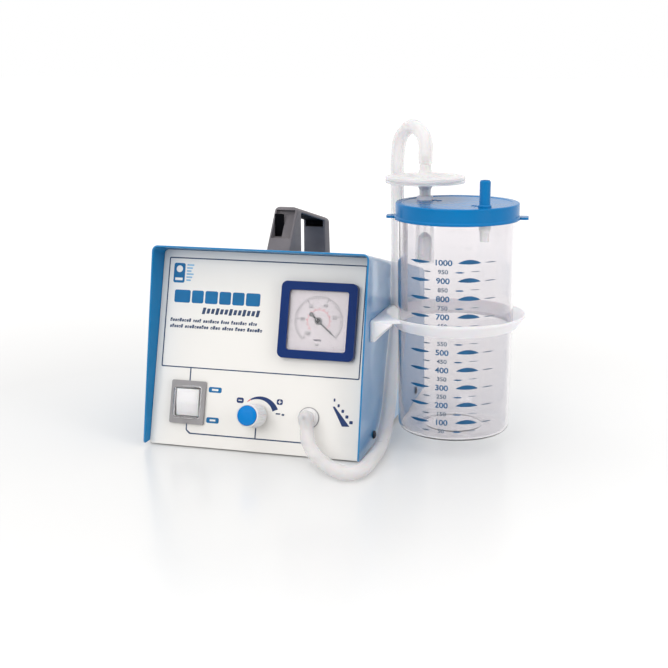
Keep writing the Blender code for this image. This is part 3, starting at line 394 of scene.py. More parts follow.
def smooth_path(points):
    """Points at even steps along a smooth curve through the given points."""
    spacing = 2.2 * MM
    knots = [Vector(p) for p in points]
    knots = [knots[0] * 2 - knots[1]] + knots + [knots[-1] * 2 - knots[-2]]
    result = []
    for a, b, c, d in zip(knots, knots[1:], knots[2:], knots[3:]):
        steps = max(2, round((c - b).length / spacing))
        for k in range(steps):
            t = k / steps
            result.append(0.5 * (2 * b + (c - a) * t + (2 * a - 5 * b + 4 * c - d) * t ** 2
                                 + (3 * b - a - 3 * c + d) * t ** 3))
    result.append(knots[-2])
    return result


def hose(name, points):
    """A length of hose along a path, with its bore open at both ends."""
    path = smooth_path(points)
    steps = 32
    bm = bmesh.new()
    side = (path[1] - path[0]).orthogonal().normalized()
    outer, inner = [], []
    for index, centre in enumerate(path):
        along = (path[min(index + 1, len(path) - 1)] - path[max(index - 1, 0)]).normalized()
        side = (side - along * side.dot(along)).normalized()
        other = along.cross(side)
        turns = [2 * pi * k / steps for k in range(steps)]
        rays = [side * cos(a) + other * sin(a) for a in turns]
        outer.append([bm.verts.new(centre + ray * HOSE_R) for ray in rays])
        inner.append([bm.verts.new(centre + ray * HOSE_BORE) for ray in rays])
    strips = list(zip(outer, outer[1:])) + list(zip(inner, inner[1:]))
    strips += [(outer[0], inner[0]), (outer[-1], inner[-1])]
    for first, second in strips:
        for k in range(steps):
            n = (k + 1) % steps
            bm.faces.new((first[k], first[n], second[n], second[k]))
    return smooth(add(name, bm), 40)


# ---------------------------------------------------------------- materials

def node(tree, kind, inputs, **settings):
    """A new shader node. Each input takes a value, or another node's output that is linked to it."""
    made = tree.nodes.new("ShaderNode" + kind)
    for name, value in settings.items():
        setattr(made, name, value)
    feed(tree, made, inputs)
    return made


def feed(tree, made, inputs):
    """Sets or links a node's inputs."""
    for key, value in inputs.items():
        if isinstance(value, bpy.types.NodeSocket):
            tree.links.new(value, made.inputs[key])
        else:
            made.inputs[key].default_value = value


def maths(tree, operation, *values):
    """The result of a sum, a product or another operation."""
    return node(tree, "Math", dict(enumerate(values)), operation=operation).outputs["Value"]


def stretch(tree, value, to_low, to_high, from_low=0.0, from_high=1.0, curve="LINEAR"):
    """Carries a value from one range over to another."""
    ends = {"From Min": from_low, "From Max": from_high, "To Min": to_low, "To Max": to_high}
    return node(tree, "MapRange", {"Value": value, **ends}, interpolation_type=curve).outputs["Result"]


def ray_is(tree, *kinds):
    """One for rays of the given kinds, and zero for others."""
    path = node(tree, "LightPath", {})
    value = path.outputs[kinds[0]]
    for kind in kinds[1:]:
        value = maths(tree, "MAXIMUM", value, path.outputs[kind])
    return value


def new_tree(name):
    material = bpy.data.materials.new(name)
    material.use_nodes = True
    return material, material.node_tree, material.node_tree.nodes["Principled BSDF"]


def surface(name, colour, roughness, drift=0.05, spread=0.06, cloud=35, grain=1400, bump=0.12, **sockets):
    """A moulded or painted surface: its colour and gloss drift a little, over a fine grain."""
    material, tree, shader = new_tree(name)
    place = node(tree, "TexCoord", {}).outputs["Object"]

    def noise(scale, detail):
        return node(tree, "TexNoise", {"Scale": scale, "Detail": detail, "Vector": place}).outputs["Fac"]

    ramp = node(tree, "ValToRGB", {"Fac": noise(cloud, 5)})
    for stop, position, change in zip(ramp.color_ramp.elements, (0.3, 0.7), (-drift, drift)):
        stop.position = position
        stop.color = (*[min(1, c * (1 + change)) for c in colour], 1)
    gloss = stretch(tree, noise(cloud * 4, 4), max(0.0, roughness - spread), roughness + spread)
    relief = node(tree, "Bump", {"Strength": bump, "Distance": 0.1 * MM, "Height": noise(grain, 3)})
    feed(tree, shader, {"Base Color": ramp.outputs["Color"], "Roughness": gloss,
                        "Normal": relief.outputs["Normal"]})
    feed(tree, shader, {socket.replace("_", " "): value for socket, value in sockets.items()})
    return material


def mix_clear(material, share):
    """Lets a share of the light straight through a surface."""
    tree = material.node_tree
    solid = tree.nodes["Principled BSDF"].outputs["BSDF"]
    clear = node(tree, "BsdfTransparent", {}).outputs["BSDF"]
    mix = node(tree, "MixShader", {"Fac": share, 1: solid, 2: clear})
    feed(tree, tree.nodes["Material Output"], {"Surface": mix.outputs["Shader"]})
    return material


def clear_plastic(name, colour, roughness, ior, share, bump=0.02):
    """A clear wall. It lets a share of shadow rays and soft bounces straight through."""
    material = surface(name, colour, roughness, drift=0.01, spread=0.02, bump=bump, Transmission_Weight=1.0,
                       IOR=ior)
    tree = material.node_tree
    soft_rays = ray_is(tree, "Is Shadow Ray", "Is Diffuse Ray")
    return mix_clear(material, maths(tree, "MULTIPLY", soft_rays, share))


def gloss_outside(material, centre):
    """Keeps the clear coat and the shine to the faces that look away from the middle of the case."""
    tree = material.node_tree
    here = node(tree, "NewGeometry", {})
    offset = node(tree, "VectorMath", {0: here.outputs["Position"], 1: centre}, operation="SUBTRACT")
    away = node(tree, "VectorMath", {0: offset.outputs["Vector"], 1: here.outputs["Normal"]},
                operation="DOT_PRODUCT")
    outside = maths(tree, "GREATER_THAN", away.outputs["Value"], 0.0)
    shine = maths(tree, "MULTIPLY_ADD", outside, 0.4, 0.1)
    feed(tree, tree.nodes["Principled BSDF"], {"Coat Weight": outside, "Specular IOR Level": shine})
    return material


def milky_plastic(name, colour, roughness, face_on, edge_on):
    """A cloudy wall that shows what is behind it where it is met face on, and less towards its edges.

    Most of a lamp's light passes it, so it throws a faint shadow."""
    material = surface(name, colour, roughness, drift=0.02, spread=0.06, bump=0.1, Subsurface_Weight=0.2,
                       Subsurface_Scale=0.003, Coat_Weight=0.2, Coat_Roughness=0.15)
    tree = material.node_tree
    facing = node(tree, "LayerWeight", {"Blend": 0.35}).outputs["Facing"]
    lamp_share = maths(tree, "MULTIPLY", ray_is(tree, "Is Shadow Ray"), 0.75)
    return mix_clear(material, maths(tree, "MAXIMUM", stretch(tree, facing, face_on, edge_on), lamp_share))


def make_surfaces():
    """The solid looks. A row holds a name, the colour, the roughness, how far the colour drifts and the gloss
    spreads, the scales of the clouds and the grain, the bump, and any further sockets."""
    dull = dict(Specular_IOR_Level=0.3)
    metal = dict(Metallic=1.0)
    rows = {
        "blue_paint": ("blue_enamel", (0.0, 0.185, 0.43), 0.30, 0.05, 0.05, 18, 900, 0.10,
                       dict(Coat_Roughness=0.1, Coat_IOR=1.65)),
        "white_paint": ("white_enamel", (0.79, 0.77, 0.735), 0.38, 0.015, 0.05, 14, 900, 0.08,
                        dict(Coat_Weight=0.25, Coat_Roughness=0.12)),
        "grey_plastic": ("grained_grey_plastic", (0.16, 0.148, 0.157), 0.55, 0.10, 0.08, 60, 2600, 0.5,
                         dict(Specular_IOR_Level=0.15)),
        "black_plastic": ("black_moulding", (0.004, 0.004, 0.005), 0.75, 0.1, 0.08, 70, 2200, 0.4,
                          dict(Specular_IOR_Level=0.05)),
        "white_plastic": ("white_moulding", (0.74, 0.73, 0.735), 0.30, 0.015, 0.05, 40, 1600, 0.1,
                          dict(Subsurface_Weight=0.15, Subsurface_Scale=0.004)),
        "blue_plastic": ("blue_moulding", (0.0, 0.158, 0.41), 0.22, 0.05, 0.04, 30, 1500, 0.08,
                         dict(Specular_IOR_Level=0.2)),
        "navy_plastic": ("navy_moulding", (0.003, 0.024, 0.13), 0.30, 0.06, 0.05, 40, 1800, 0.15, dull),
        "cap_blue": ("blue_cap", (0.0, 0.19, 0.55), 0.24, 0.05, 0.04, 60, 1500, 0.08, dull),
        "port_grey": ("grey_moulding", (0.74, 0.72, 0.71), 0.40, 0.08, 0.06, 60, 2000, 0.3),
        "switch_grey": ("switch_frame_grey", (0.28, 0.27, 0.275), 0.36, 0.08, 0.06, 60, 2200, 0.3),
        "dial_white": ("dial_print_ground", (0.52, 0.475, 0.495), 0.55, 0.04, 0.05, 60, 2400, 0.05),
        "needle_black": ("needle_enamel", (0.035, 0.035, 0.04), 0.42, 0.1, 0.05, 60, 1800, 0.1),
        "black_rubber": ("black_rubber", (0.03, 0.03, 0.033), 0.62, 0.15, 0.08, 80, 1700, 0.6),
        "membrane": ("felted_membrane", (0.72, 0.72, 0.71), 0.9, 0.04, 0.05, 120, 2600, 0.7),
        "steel": ("zinc_plate", (0.58, 0.58, 0.60), 0.34, 0.08, 0.10, 90, 1600, 0.25, metal),
        "brass": ("turned_brass", (0.74, 0.56, 0.27), 0.30, 0.08, 0.10, 90, 1600, 0.2, metal),
        "aluminium": ("cast_aluminium", (0.66, 0.67, 0.68), 0.45, 0.06, 0.10, 70, 900, 0.5, metal),
        "black_steel": ("blackened_steel", (0.04, 0.045, 0.06), 0.38, 0.1, 0.1, 90, 1600, 0.25,
                        dict(Metallic=0.6)),
        "core": ("laminated_core", (0.30, 0.30, 0.32), 0.5, 0.2, 0.1, 220, 1500, 0.5, dict(Metallic=0.8)),
        "ink_navy": ("navy_ink", (0.012, 0.035, 0.13), 0.42, 0.10, 0.06, 120, 2600, 0.1),
        "ink_line": ("line_ink", (0.03, 0.055, 0.12), 0.45, 0.10, 0.06, 120, 2600, 0.1),
        "ink_blue": ("blue_ink", (0.0, 0.13, 0.32), 0.40, 0.12, 0.06, 60, 2600, 0.1),
        "ink_pale_blue": ("pale_blue_ink", (0.22, 0.45, 0.66), 0.40, 0.15, 0.06, 60, 2600, 0.1),
        "ink_red": ("red_ink", (0.55, 0.05, 0.08), 0.42, 0.08, 0.06, 120, 2600, 0.1),
        "ink_dial": ("dial_ink", (0.10, 0.09, 0.11), 0.5, 0.10, 0.06, 120, 2600, 0.1),
        "ink_jar": ("jar_scale_ink", (0.004, 0.085, 0.21), 0.42, 0.2, 0.06, 140, 2600, 0.1),
        "ink_jar_grey": ("jar_fine_scale_ink", (0.09, 0.13, 0.19), 0.45, 0.15, 0.06, 90, 2600, 0.1),
    }
    return {look: surface(*row[:8], **dict(*row[8:])) for look, row in rows.items()}


def make_see_through():
    """The clear looks take an IOR and a share of light let by. The milky ones take two clear shares."""
    return {
        "jar_clear": clear_plastic("clear_polycarbonate", (0.79, 0.775, 0.79), 0.02, 1.45, 0.88),
        "clear_plastic": clear_plastic("clear_lens", (0.96, 0.955, 0.96), 0.03, 1.45, 0.95),
        "clear_vinyl": clear_plastic("clear_vinyl", (0.88, 0.875, 0.88), 0.16, 1.40, 0.85, 0.1),
        "silicone": milky_plastic("clear_silicone", (0.80, 0.78, 0.78), 0.30, 0.74, 0.40),
        "frosted_plastic": milky_plastic("natural_polypropylene", (0.94, 0.925, 0.94), 0.32, 0.36, 0.14),
        "filter_plastic": milky_plastic("frosted_styrene", (0.80, 0.785, 0.79), 0.30, 0.42, 0.22),
        "cage_plastic": milky_plastic("clear_polypropylene", (0.84, 0.84, 0.85), 0.30, 0.92, 0.72),
    }


MATERIALS = {**make_surfaces(), **make_see_through()}
gloss_outside(MATERIALS["blue_paint"], middle("top_cover"))


def dress(obj, look, node_name, stands_for=True):
    """Gives a piece its material and sets it on the body of a node, which it stands for."""
    obj.data.materials.clear()
    obj.data.materials.append(MATERIALS[look])
    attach(obj, BODY_OF[node_name])
    if stands_for:
        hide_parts(node_name)
    return obj


def trim(obj, look, node_name):
    """Dresses a further piece that belongs to a node."""
    return dress(obj, look, node_name, False)


def keep_node(node_name, look, bevel=0.0):
    """Shows a node of the frame as it is, with its material and soft edges."""
    obj = smooth(frame["nodes"][node_name], SHARP_ANGLE)
    if not obj.material_slots:
        obj.data.materials.append(MATERIALS[look])
    for material_slot in obj.material_slots:
        material_slot.material = MATERIALS[look]
    if bevel:
        bevel_edges(obj, bevel, 2, SHARP_ANGLE)


# ---------------------------------------------------------------- case

def build_cover():
    """One folded sheet: two upright sides and a top that slopes down to the back."""
    low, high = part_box("top_cover")
    mid = (low.x + high.x) / 2
    half = (high.x - low.x) / 2
    flat = half - TOP_BEND
    spans, bend_steps, lengths = 8, 10, 6

    def front_y(z):
        return low.y + FRONT_LEAN * (z - low.z)

    def rear_y(z):
        return high.y - REAR_LEAN * (z - low.z)

    top_front = high.z
    run = high.y + REAR_LEAN * low.z - front_y(top_front)
    top_rear = (top_front - TOP_SLOPE * run) / (1 - TOP_SLOPE * REAR_LEAN)

    def section(top):
        side = [low.z + (top - TOP_BEND - low.z) * k / spans for k in range(spans)]
        points = [(-half, z) for z in side]
        points += arc((-flat, top - TOP_BEND), TOP_BEND, 180, 90, bend_steps)
        points += [(-flat + 2 * flat * k / spans, top) for k in range(1, spans)]
        points += arc((flat, top - TOP_BEND), TOP_BEND, 90, 0, bend_steps)
        return points + [(half, z) for z in reversed(side)]

    bm = bmesh.new()
    rows = []
    for k in range(lengths + 1):
        row = []
        for (x, z_front), (_, z_rear) in zip(section(top_front), section(top_rear)):
            start = Vector((mid + x, front_y(z_front), z_front))
            end = Vector((mid + x, rear_y(z_rear), z_rear))
            row.append(bm.verts.new(start.lerp(end, k / lengths)))
        rows.append(row)
    for first, second in zip(rows, rows[1:]):
        for k in range(len(first) - 1):
            bm.faces.new((first[k], second[k], second[k + 1], first[k + 1]))
    bm.normal_update()
    if max(bm.faces, key=lambda f: f.calc_center_median().z).normal.z < 0:
        bmesh.ops.reverse_faces(bm, faces=bm.faces)
    cover = thicken(object_of("cover_sheet", bm), SHEET, even=True)
    round_cheeks(cover, low, high)
    dress(soften(cover, 0.4 * MM, 3, 50), "blue_paint", "top_cover")


def round_cheeks(cover, low, high):
    """Rounds the two lower corners of each side."""
    bm = bmesh.new()
    bm.from_mesh(cover.data)
    corners = []
    for edge in bm.edges:
        a, b = [v.co for v in edge.verts]
        at_foot = max(a.z, b.z) < low.z + 0.2 * MM
        at_end = min(a.y, b.y) > high.y - 1 * MM or max(a.y, b.y) < low.y + 1 * MM
        if at_foot and at_end and abs(a.x - b.x) > 0.8 * SHEET:
            corners.append(edge)
    bmesh.ops.bevel(bm, geom=corners, offset=3 * MM, segments=6, profile=0.5, affect="EDGES")
    bm.to_mesh(cover.data)
    bm.free()


def build_front_panel():
    """A flat sheet with round upper corners, and holes for the gauge, the switch, the knob and the inlet."""
    left, right = reach("front_panel", ACROSS)
    half = (right - left) / 2
    low, high = reach("front_panel", UP)
    top = high - low - PANEL_TUCK
    outline = [(-half, -PANEL_TUCK), (half, -PANEL_TUCK)]
    outline += arc((half - PANEL_CORNER, top - PANEL_CORNER), PANEL_CORNER, 0, 90, 8)
    outline += arc((-half + PANEL_CORNER, top - PANEL_CORNER), PANEL_CORNER, 90, 180, 8)
    holes = [circle(GAUGE, 29.2 * MM), rounded(SWITCH, 26 * MM, 31 * MM, 1 * MM, 3),
             circle(KNOB, 5.3 * MM, 24), circle(PORT, 5.2 * MM, 24)]
    panel = slab("panel_sheet", [outline] + holes, -PANEL_T, 0, PANEL)
    dress(smooth(panel), "white_paint", "front_panel")


def build_feet():
    profile = [(0, 8.6), (3.0, 8.6), (3.5, 7.6), (3.5, 5.8), (2.5, 5.8), (2.5, 3.7), (7.6, 3.7),
               (8.2, 3.1), (7.9, 0.9), (7.2, 0), (0, 0)]
    for end in ("front_left", "front_right", "rear_left", "rear_right"):
        foot = turned("rubber_foot_" + end, profile, upright(middle("foot_" + end)), 0.5)
        dress(foot, "black_rubber", "foot_" + end)


def build_screws():
    """Pan heads with a cross recess, one in place of each screw node."""
    names = ["cover_screw_left_front", "cover_screw_left_rear", "cover_screw_right_front",
             "cover_screw_right_rear", "holder_screw_front", "holder_screw_rear"]
    head = 1.8
    for name in names:
        low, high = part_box(name)
        side = -1 if "left" in name else 1
        tip = head - (high.x - low.x) / MM
        seat = (high.x if side > 0 else low.x) - side * head * MM
        centre = middle(name)
        place = frame_of((0, side, 0), (0, 0, 1), (side, 0, 0), (seat, centre.y, centre.z))
        profile = [(0, head), (1.9, 1.75), (3.1, 1.2), (3.5, 0.4), (3.5, 0), (1.9, 0), (1.9, tip), (0, tip)]
        screw = turned(name + "_head", profile, place, 0.25, 48, arc_steps=3)
        for size in ((3.4, 0.75, 1.6), (0.75, 3.4, 1.6)):
            combine(screw, block("slot", size, (0, 0, head), place), "DIFFERENCE")
        dress(smooth(screw, 40), "black_steel", name)


def build_handle():
    """Bridge handle, open at the front of its raked leg and hollow under its grip. Black sheets in its hollows are
    painted shade.
    """
    low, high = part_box("carry_handle")
    mid = (low.x + high.x) / 2
    half = (high.x - low.x) / 2
    slope = 0.226
    grip_t = 4.2 * MM
    rim = 1.6 * MM
    grip_front = low.y + 27 * MM
    rear_top = high.y - 4 * MM
    leg_front = low.y + 36 * MM
    leg_rear = high.y - 19 * MM
    foot_front = low.z + TOP_SLOPE * (high.y - low.y)

    def on_grip(y, up=0.0):
        return y, high.z - slope * (y - grip_front) + up

    def on_foot(y):
        return y, foot_front - TOP_SLOPE * (y - low.y), 0

    def on_front(z, back=0.0):
        return low.y + (grip_front - low.y) * (z - foot_front) / (high.z - foot_front) + back, z

    outline = [on_foot(low.y), on_foot(leg_front), (*on_grip(leg_front, -grip_t), 2 * MM),
               (*on_grip(leg_rear, -grip_t), 2 * MM), on_foot(leg_rear), on_foot(high.y),
               (*on_grip(rear_top), 4 * MM), (*on_grip(grip_front), 3 * MM)]
    side = frame_of((0, 1, 0), (0, 0, 1), (1, 0, 0), (mid, 0, 0))
    handle = slab("bridge_handle", [round_corners(outline, 1 * MM, 6, True)], -half, half, side, rim)
    crown = slab("crown", [rounded((mid, high.z - 30 * MM), 2 * half, 60 * MM, 5 * MM, 10)], -high.y - 5 * MM,
                 5 * MM - low.y, FROM_FRONT)
    for v in crown.data.vertices:
        v.co.z -= slope * (v.co.y - grip_front)
    combine(handle, crown, "INTERSECT")

    wide = half - 1.8 * MM
    well_side = -wide + 8 * MM
    pocket_low = high.z - 25 * MM
    pocket_high = high.z - 2.6 * MM
    well_high = pocket_high - 3 * MM
    well_y = on_front(pocket_low)[0] + 13 * MM
    painted_shade_y = well_y - 1.5 * MM
    rear_mid = on_grip(leg_rear, -6.4 * MM)[1]
    pocket = [on_front(pocket_low, -9 * MM), on_front(pocket_low, 5 * MM), on_front(pocket_high, 5 * MM),
              on_front(pocket_high, -9 * MM)]
    well = [on_front(pocket_low), (well_y, pocket_low), (well_y, well_high),
            (on_front(pocket_high)[0], pocket_high - 1 * MM)]
    hollow = rounded((leg_rear + 1 * MM, rear_mid), 8 * MM, 8 * MM, 0.16 * MM, 1)
    for name, shape, end in (("pocket", pocket, wide), ("well", well, well_side), ("hollow", hollow, wide)):
        combine(handle, slab(name, [shape], -wide, end, side), "DIFFERENCE")
    dress(smooth(handle, 40), "grey_plastic", "carry_handle")

    # Black sheets at the back of the well, in the rear leg's recess and under the grip: painted shade for these
    # hollows.
    behind = well_y + 0.2 * MM
    front = [(painted_shade_y, pocket_low), (behind, pocket_low), (behind, well_high), (painted_shade_y, well_high)]
    rear = rounded((leg_rear + 4.2 * MM, rear_mid), 1.6 * MM, 8 * MM, 0.032 * MM, 1)
    under_front, under_rear = leg_front + 1 * MM, leg_rear - 1 * MM
    under = [on_grip(under_front, 0.6 * MM - grip_t), on_grip(under_rear, 0.6 * MM - grip_t),
             on_grip(under_rear, -0.3 * MM - grip_t), on_grip(under_front, -0.3 * MM - grip_t)]
    for name, shape, end in (("front", front, well_side), ("rear", rear, wide), ("grip", under, wide)):
        painted_shade = slab("handle_" + name + "_painted_shade", [shape], -wide, end, side)
        trim(soften(painted_shade, 0.2 * MM, 1), "black_plastic", "carry_handle")


def build_case():
    build_cover()
    build_front_panel()
    build_feet()
    build_screws()
    build_handle()
    keep_node("base_tray", "white_paint", 0.4 * MM)
    keep_node("rear_panel", "white_paint", 0.25 * MM)
    keep_node("mains_inlet", "black_plastic", 0.4 * MM)


# ---------------------------------------------------------------- print on the panel

def ink(name, outlines, look, on="front_panel", level=0.0, place=PANEL):
    """A layer of print, a few hundredths of a millimetre thick. Outlines and level are in millimetres."""
    low = level * MM + INK_GAP
    return trim(slab(name, [in_mm(outline) for outline in outlines], low, low + INK_T, place), look, on)


def bar(u, v, width, height, lean=0.0, radius=0.3):
    """A printed bar from its left end, centred on v. lean slants it."""
    corners = rounded((width / 2, 0), width, height, min(radius, height / 2.1), 3)
    return [(u + x + lean * y, v + y) for x, y in corners]


def build_panel_print():
    """The border, the mark and the lines of print, all as plain blocks, bars and rings."""
    half, low, high, line = 87, BORDER_FOOT, 156.7, 1.0
    centre = (0, (low + high) / 2)
    outer = rounded(centre, 2 * half, high - low, 1.2)
    inner = rounded(centre, 2 * (half - line), high - low - 2 * line, 0.6)
    ink("print_border", [outer, inner], "ink_line")

    emblem = [bar(-82.3, 143.4, 10.2, 16.8, radius=1.6), circle((-77.2, 146.8), 2.9),
              bar(-80.7, 138.2, 6.8, 2.2)]
    ink("print_mark", emblem, "ink_blue")
    rays = [bar(-70.6, 150.4 - 2.6 * k, 6.4 - 1.1 * (k % 3), 1.3, radius=0.5) for k in range(6)]
    ink("print_mark_rays", rays, "ink_pale_blue")

    u = -80.0
    title = []
    for width in (14.4, 10.6, 11.4, 10.4, 10.6, 12.6):
        title.append(bar(u, 123.7, width, 10.8, radius=1.5))
        u += width + 1.4
    ink("print_title", title, "ink_blue")

    subtitle = [bar(-53.6 + 4.0 * k, 112.2, 2.7, 4.3 if k % 3 else 5.6, 0.22) for k in range(13)]
    ink("print_subtitle", subtitle, "ink_line")
    build_small_print()
    build_flow_print()
    build_knob_print()
    build_wedge_print()


def build_small_print():
    """Two lines of small bars, some with a short bar across, grouped like words."""
    lines = []
    count = 0
    for v, words in ((103.6, (19, 7.5, 14.5, 7.5, 14, 7.5)), (98.4, (12, 21.5, 9, 10, 9, 13.5))):
        u = -82.0
        for word in words:
            letters = max(2, round(word / 2.1))
            wide = word / letters - 0.4
            for k in range(letters):
                start = u + word * k / letters
                tall = 3.1 if (count * 5 + k) % 4 == 0 else 2.2
                lines.append(bar(start, v - 1.5 + tall / 2, wide, tall, 0.15, 0.5))
                if (count + k) % 3 == 0:
                    lines.append(bar(start + wide * 0.3, v - 0.6, wide * 0.4, 0.8, 0.15, 0.2))
            count += letters
            u += word + 1.6
    ink("print_small_lines", lines, "ink_line")


def build_flow_print():
    """The line that joins the switch, the regulator and the inlet, and the two switch signs."""
    line, foot, gap = 1.1, 8.7, 18.2
    u, v = SWITCH / MM
    port_u = PORT.x / MM
    left, right = u - 0.3 - line / 2, u - 0.3 + line / 2
    above, below = foot + line / 2, foot - line / 2
    over = BORDER_FOOT - v - gap
    ink("print_line_switch_top", [bar(left, BORDER_FOOT - over / 2, line, over, radius=0.1)], "ink_line")
    flow = [(left, v - gap), (right, v - gap), (right, foot + 3, 1.2), (u + 3.6, above, 1.2), (port_u, above),
            (port_u, below), (u + 2.6, below, 1.8), (left, foot + 2.4, 1.8)]
    ink("print_line_flow", [round_corners(flow, 0, 6, True)], "ink_line")
    ink("print_line_knob", [bar(KNOB.x / MM - line / 2, 13.4, line, 8.5, radius=0.1)], "ink_line")
    signs = [bar(u + 17.2, v + 11.8, 11.6, 4.6, radius=1.4), bar(u + 20.0, v + 11.8, 5.8, 1.6),
             bar(u + 17.0, v - 13.7, 11.2, 4.8, radius=1.4), bar(u + 20.0, v - 13.7, 5.2, 1.6)]
    ink("print_switch_signs", signs, "ink_blue")


def build_knob_print():
    """The crescent that grows from low to high vacuum, with a minus and a plus sign."""
    knob = KNOB / MM
    centre = knob + Vector((1.8, -0.8))
    first, last, steps = 133, 22, 24

    def crescent(start, end):
        outer, inner = [], []
        for k in range(steps + 1):
            turn = start + (end - start) * k / steps
            growth = (first - turn) / (first - last)
            far = 16.2 + 1.6 * growth
            near = far - 0.5 - 4.6 * growth ** 0.9
            ray = Vector((cos(radians(turn)), sin(radians(turn))))
            outer.append(centre + ray * far)
            inner.append(centre + ray * near)
        return outer + inner[::-1]

    ink("print_crescent", [crescent(121, 24)], "ink_navy")
    ink("print_crescent_tip", [crescent(first, 121.5)], "ink_red")
    minus = knob + Vector((-15.4, 11.6))
    plus = knob + Vector((19.2, 12.6))
    arm, thin = 1.5, 0.4
    cross = []
    for k in range(4):
        turn = Matrix.Rotation(pi / 2 * k, 2)
        cross += [plus + turn @ Vector(p) for p in ((thin, thin), (thin, arm), (-thin, arm))]
    ink("print_minus", [rounded(minus, 6.2, 4.6, 1.6), rounded(minus, 3.2, 0.8, 0.2, 2)], "ink_navy")
    ink("print_plus", [rounded(plus, 5.2, 4.6, 1.4), cross], "ink_navy")
    u, v = knob
    ink("print_knob_note", [bar(u + 16.4, v + 2.8, 4.0, 1.2), bar(u + 21.6, v + 2.3, 2.3, 1.6)], "ink_line")


def build_wedge_print():
    """The widening wedge that stands for rising vacuum, with a dot at each stage."""
    u, v = PORT / MM
    wedge = [(u + 19.4, v + 10.8), (u + 21.2, v + 11.0), (u + 34.8, v - 4.5), (u + 28.4, v - 4.8)]
    ink("print_wedge", [round_corners(wedge, 0.3, 3, True)], "ink_navy")
    dots = [rounded((u + 20.6 + 3.8 * k, v + 16.2 - 4.3 * k), 1.5 + 0.35 * k, 2.6, 0.6, 3) for k in range(5)]
    ink("print_wedge_dots", dots, "ink_navy")


# ---------------------------------------------------------------- gauge

def text_shape(words, size):
    """A mesh of plain digits, centred on its origin and flat on the local XY plane."""
    curve = bpy.data.curves.new("digits", "FONT")
    curve.body = words
    curve.size = size
    curve.offset = size * FIGURE_WEIGHT
    curve.align_x = "CENTER"
    curve.align_y = "CENTER"
    curve.extrude = INK_T / 2
    return mesh_from(curve)


def gather(name, meshes, place=None):
    """One object out of several meshes, each given with its own matrix."""
    bm = bmesh.new()
    for mesh, matrix in meshes:
        part = bmesh.new()
        part.from_mesh(mesh)
        bmesh.ops.remove_doubles(part, verts=part.verts, dist=WELD)
        part.transform(matrix)
        part.to_mesh(mesh)
        part.free()
        bm.from_mesh(mesh)
    return add(name, bm, place)


def build_dial(spot):
    """The dial's sheet with two scales, six figures and two bars for the unit."""
    sheet = [rounded((0, 0), 57.6, 56.6, 1.2, 3), circle((0, 0), 1.4, 24)]
    ground = plate("dial_sheet", sheet, 0.9, DIAL_TOP, spot)
    dress(soften(ground, 0.1 * MM, 1), "dial_white", "gauge_dial")
    end = DIAL_START + DIAL_SWEEP

    def tick(turn, near, far, half):
        ray = Vector((cos(turn), sin(turn)))
        across = Vector((-sin(turn), cos(turn))) * half
        return [ray * near - across, ray * far - across, ray * far + across, ray * near + across]

    def band(near, far):
        return arc((0, 0), far, DIAL_START, end, 60) + arc((0, 0), near, end, DIAL_START, 60)

    divisions = 50
    ticks, red = [], []
    for k in range(divisions + 1):
        turn = radians(DIAL_START + DIAL_SWEEP * k / divisions)
        half = 0.36 if k % 10 == 0 else 0.24
        near = 16.6 if k % 10 == 0 else 17.6 if k % 5 == 0 else 18.4
        ticks.append(tick(turn, near, 20.2, half))
        if k % 4 == 0:
            red.append(tick(turn, 9.6, 10.9, half))
    ink("dial_ticks", ticks + [band(20.3, 20.6)], "ink_dial", "gauge_dial", DIAL_TOP, spot)
    ink("dial_red_ticks", red + [band(9.2, 9.5)], "ink_red", "gauge_dial", DIAL_TOP, spot)

    figures = []
    level = DIAL_TOP * MM + INK_GAP + INK_T / 2
    for k in range(6):
        turn = radians(DIAL_START + DIAL_SWEEP * k / 5)
        at = (cos(turn) * 13.8 * MM, sin(turn) * 13.8 * MM, level)
        figures.append((text_shape(str(20 * k), 4 * MM), Matrix.Translation(at)))
    trim(gather("dial_figures", figures, spot), "ink_dial", "gauge_dial")
    unit = [rounded((0, -15.6), 6.4, 1.5, 0.4, 3), rounded((0, -19.6), 3.0, 1.1, 0.3, 3)]
    ink("dial_unit_bar", unit, "ink_dial", "gauge_dial", DIAL_TOP, spot)


def build_gauge():
    """The square bezel, its window and the needle, over the parts of the gauge."""
    spot = on_panel(GAUGE)
    outer = rounded((0, 0), 65 * MM, 63.5 * MM, 5 * MM, 10)
    window = rounded((0, 0), 50.6 * MM, 49.4 * MM, 2.2 * MM)
    rebate = rounded((0, 0), 58.4 * MM, 57.4 * MM, 1.5 * MM, 4)
    rim = slab("gauge_bezel_frame", [outer, window], 4.8 * MM, 6.2 * MM, spot)
    combine(rim, slab("bezel_skirt", [outer, rebate], 0.2 * MM, 4.9 * MM, spot))
    dress(soften(rim, 0.9 * MM, 4, 50), "navy_plastic", "gauge_bezel")
    lens = plate("gauge_window", [rounded((0, 0), 56, 55, 1.2, 3)], 3.5, 4.6, spot)
    dress(soften(lens, 0.2 * MM, 2), "clear_plastic", "gauge_lens")
    build_dial(spot)

    keep_node("gauge_needle", "needle_black")
    hub = [(0, 3.6), (1.2, 3.55), (2.6, 3.1), (3.0, 2.8), (3.0, 1.8), (0, 1.8)]
    trim(turned("needle_hub", hub, spot, 0.3, 48), "needle_black", "gauge_needle")
    rest = radians(DIAL_START)
    tail = (-8.2 * cos(rest), -8.2 * sin(rest))
    weight = plate("needle_counterweight", [circle(tail, 1.9, 32)], 2.0, 2.75, spot)
    trim(soften(weight, 0.15 * MM, 2), "needle_black", "gauge_needle")
    keep_node("gauge_case", "steel")
    for name in ("gauge_stem", "gauge_tube", "gauge_sector"):
        keep_node(name, "brass")


# ---------------------------------------------------------------- switch, regulator and inlet

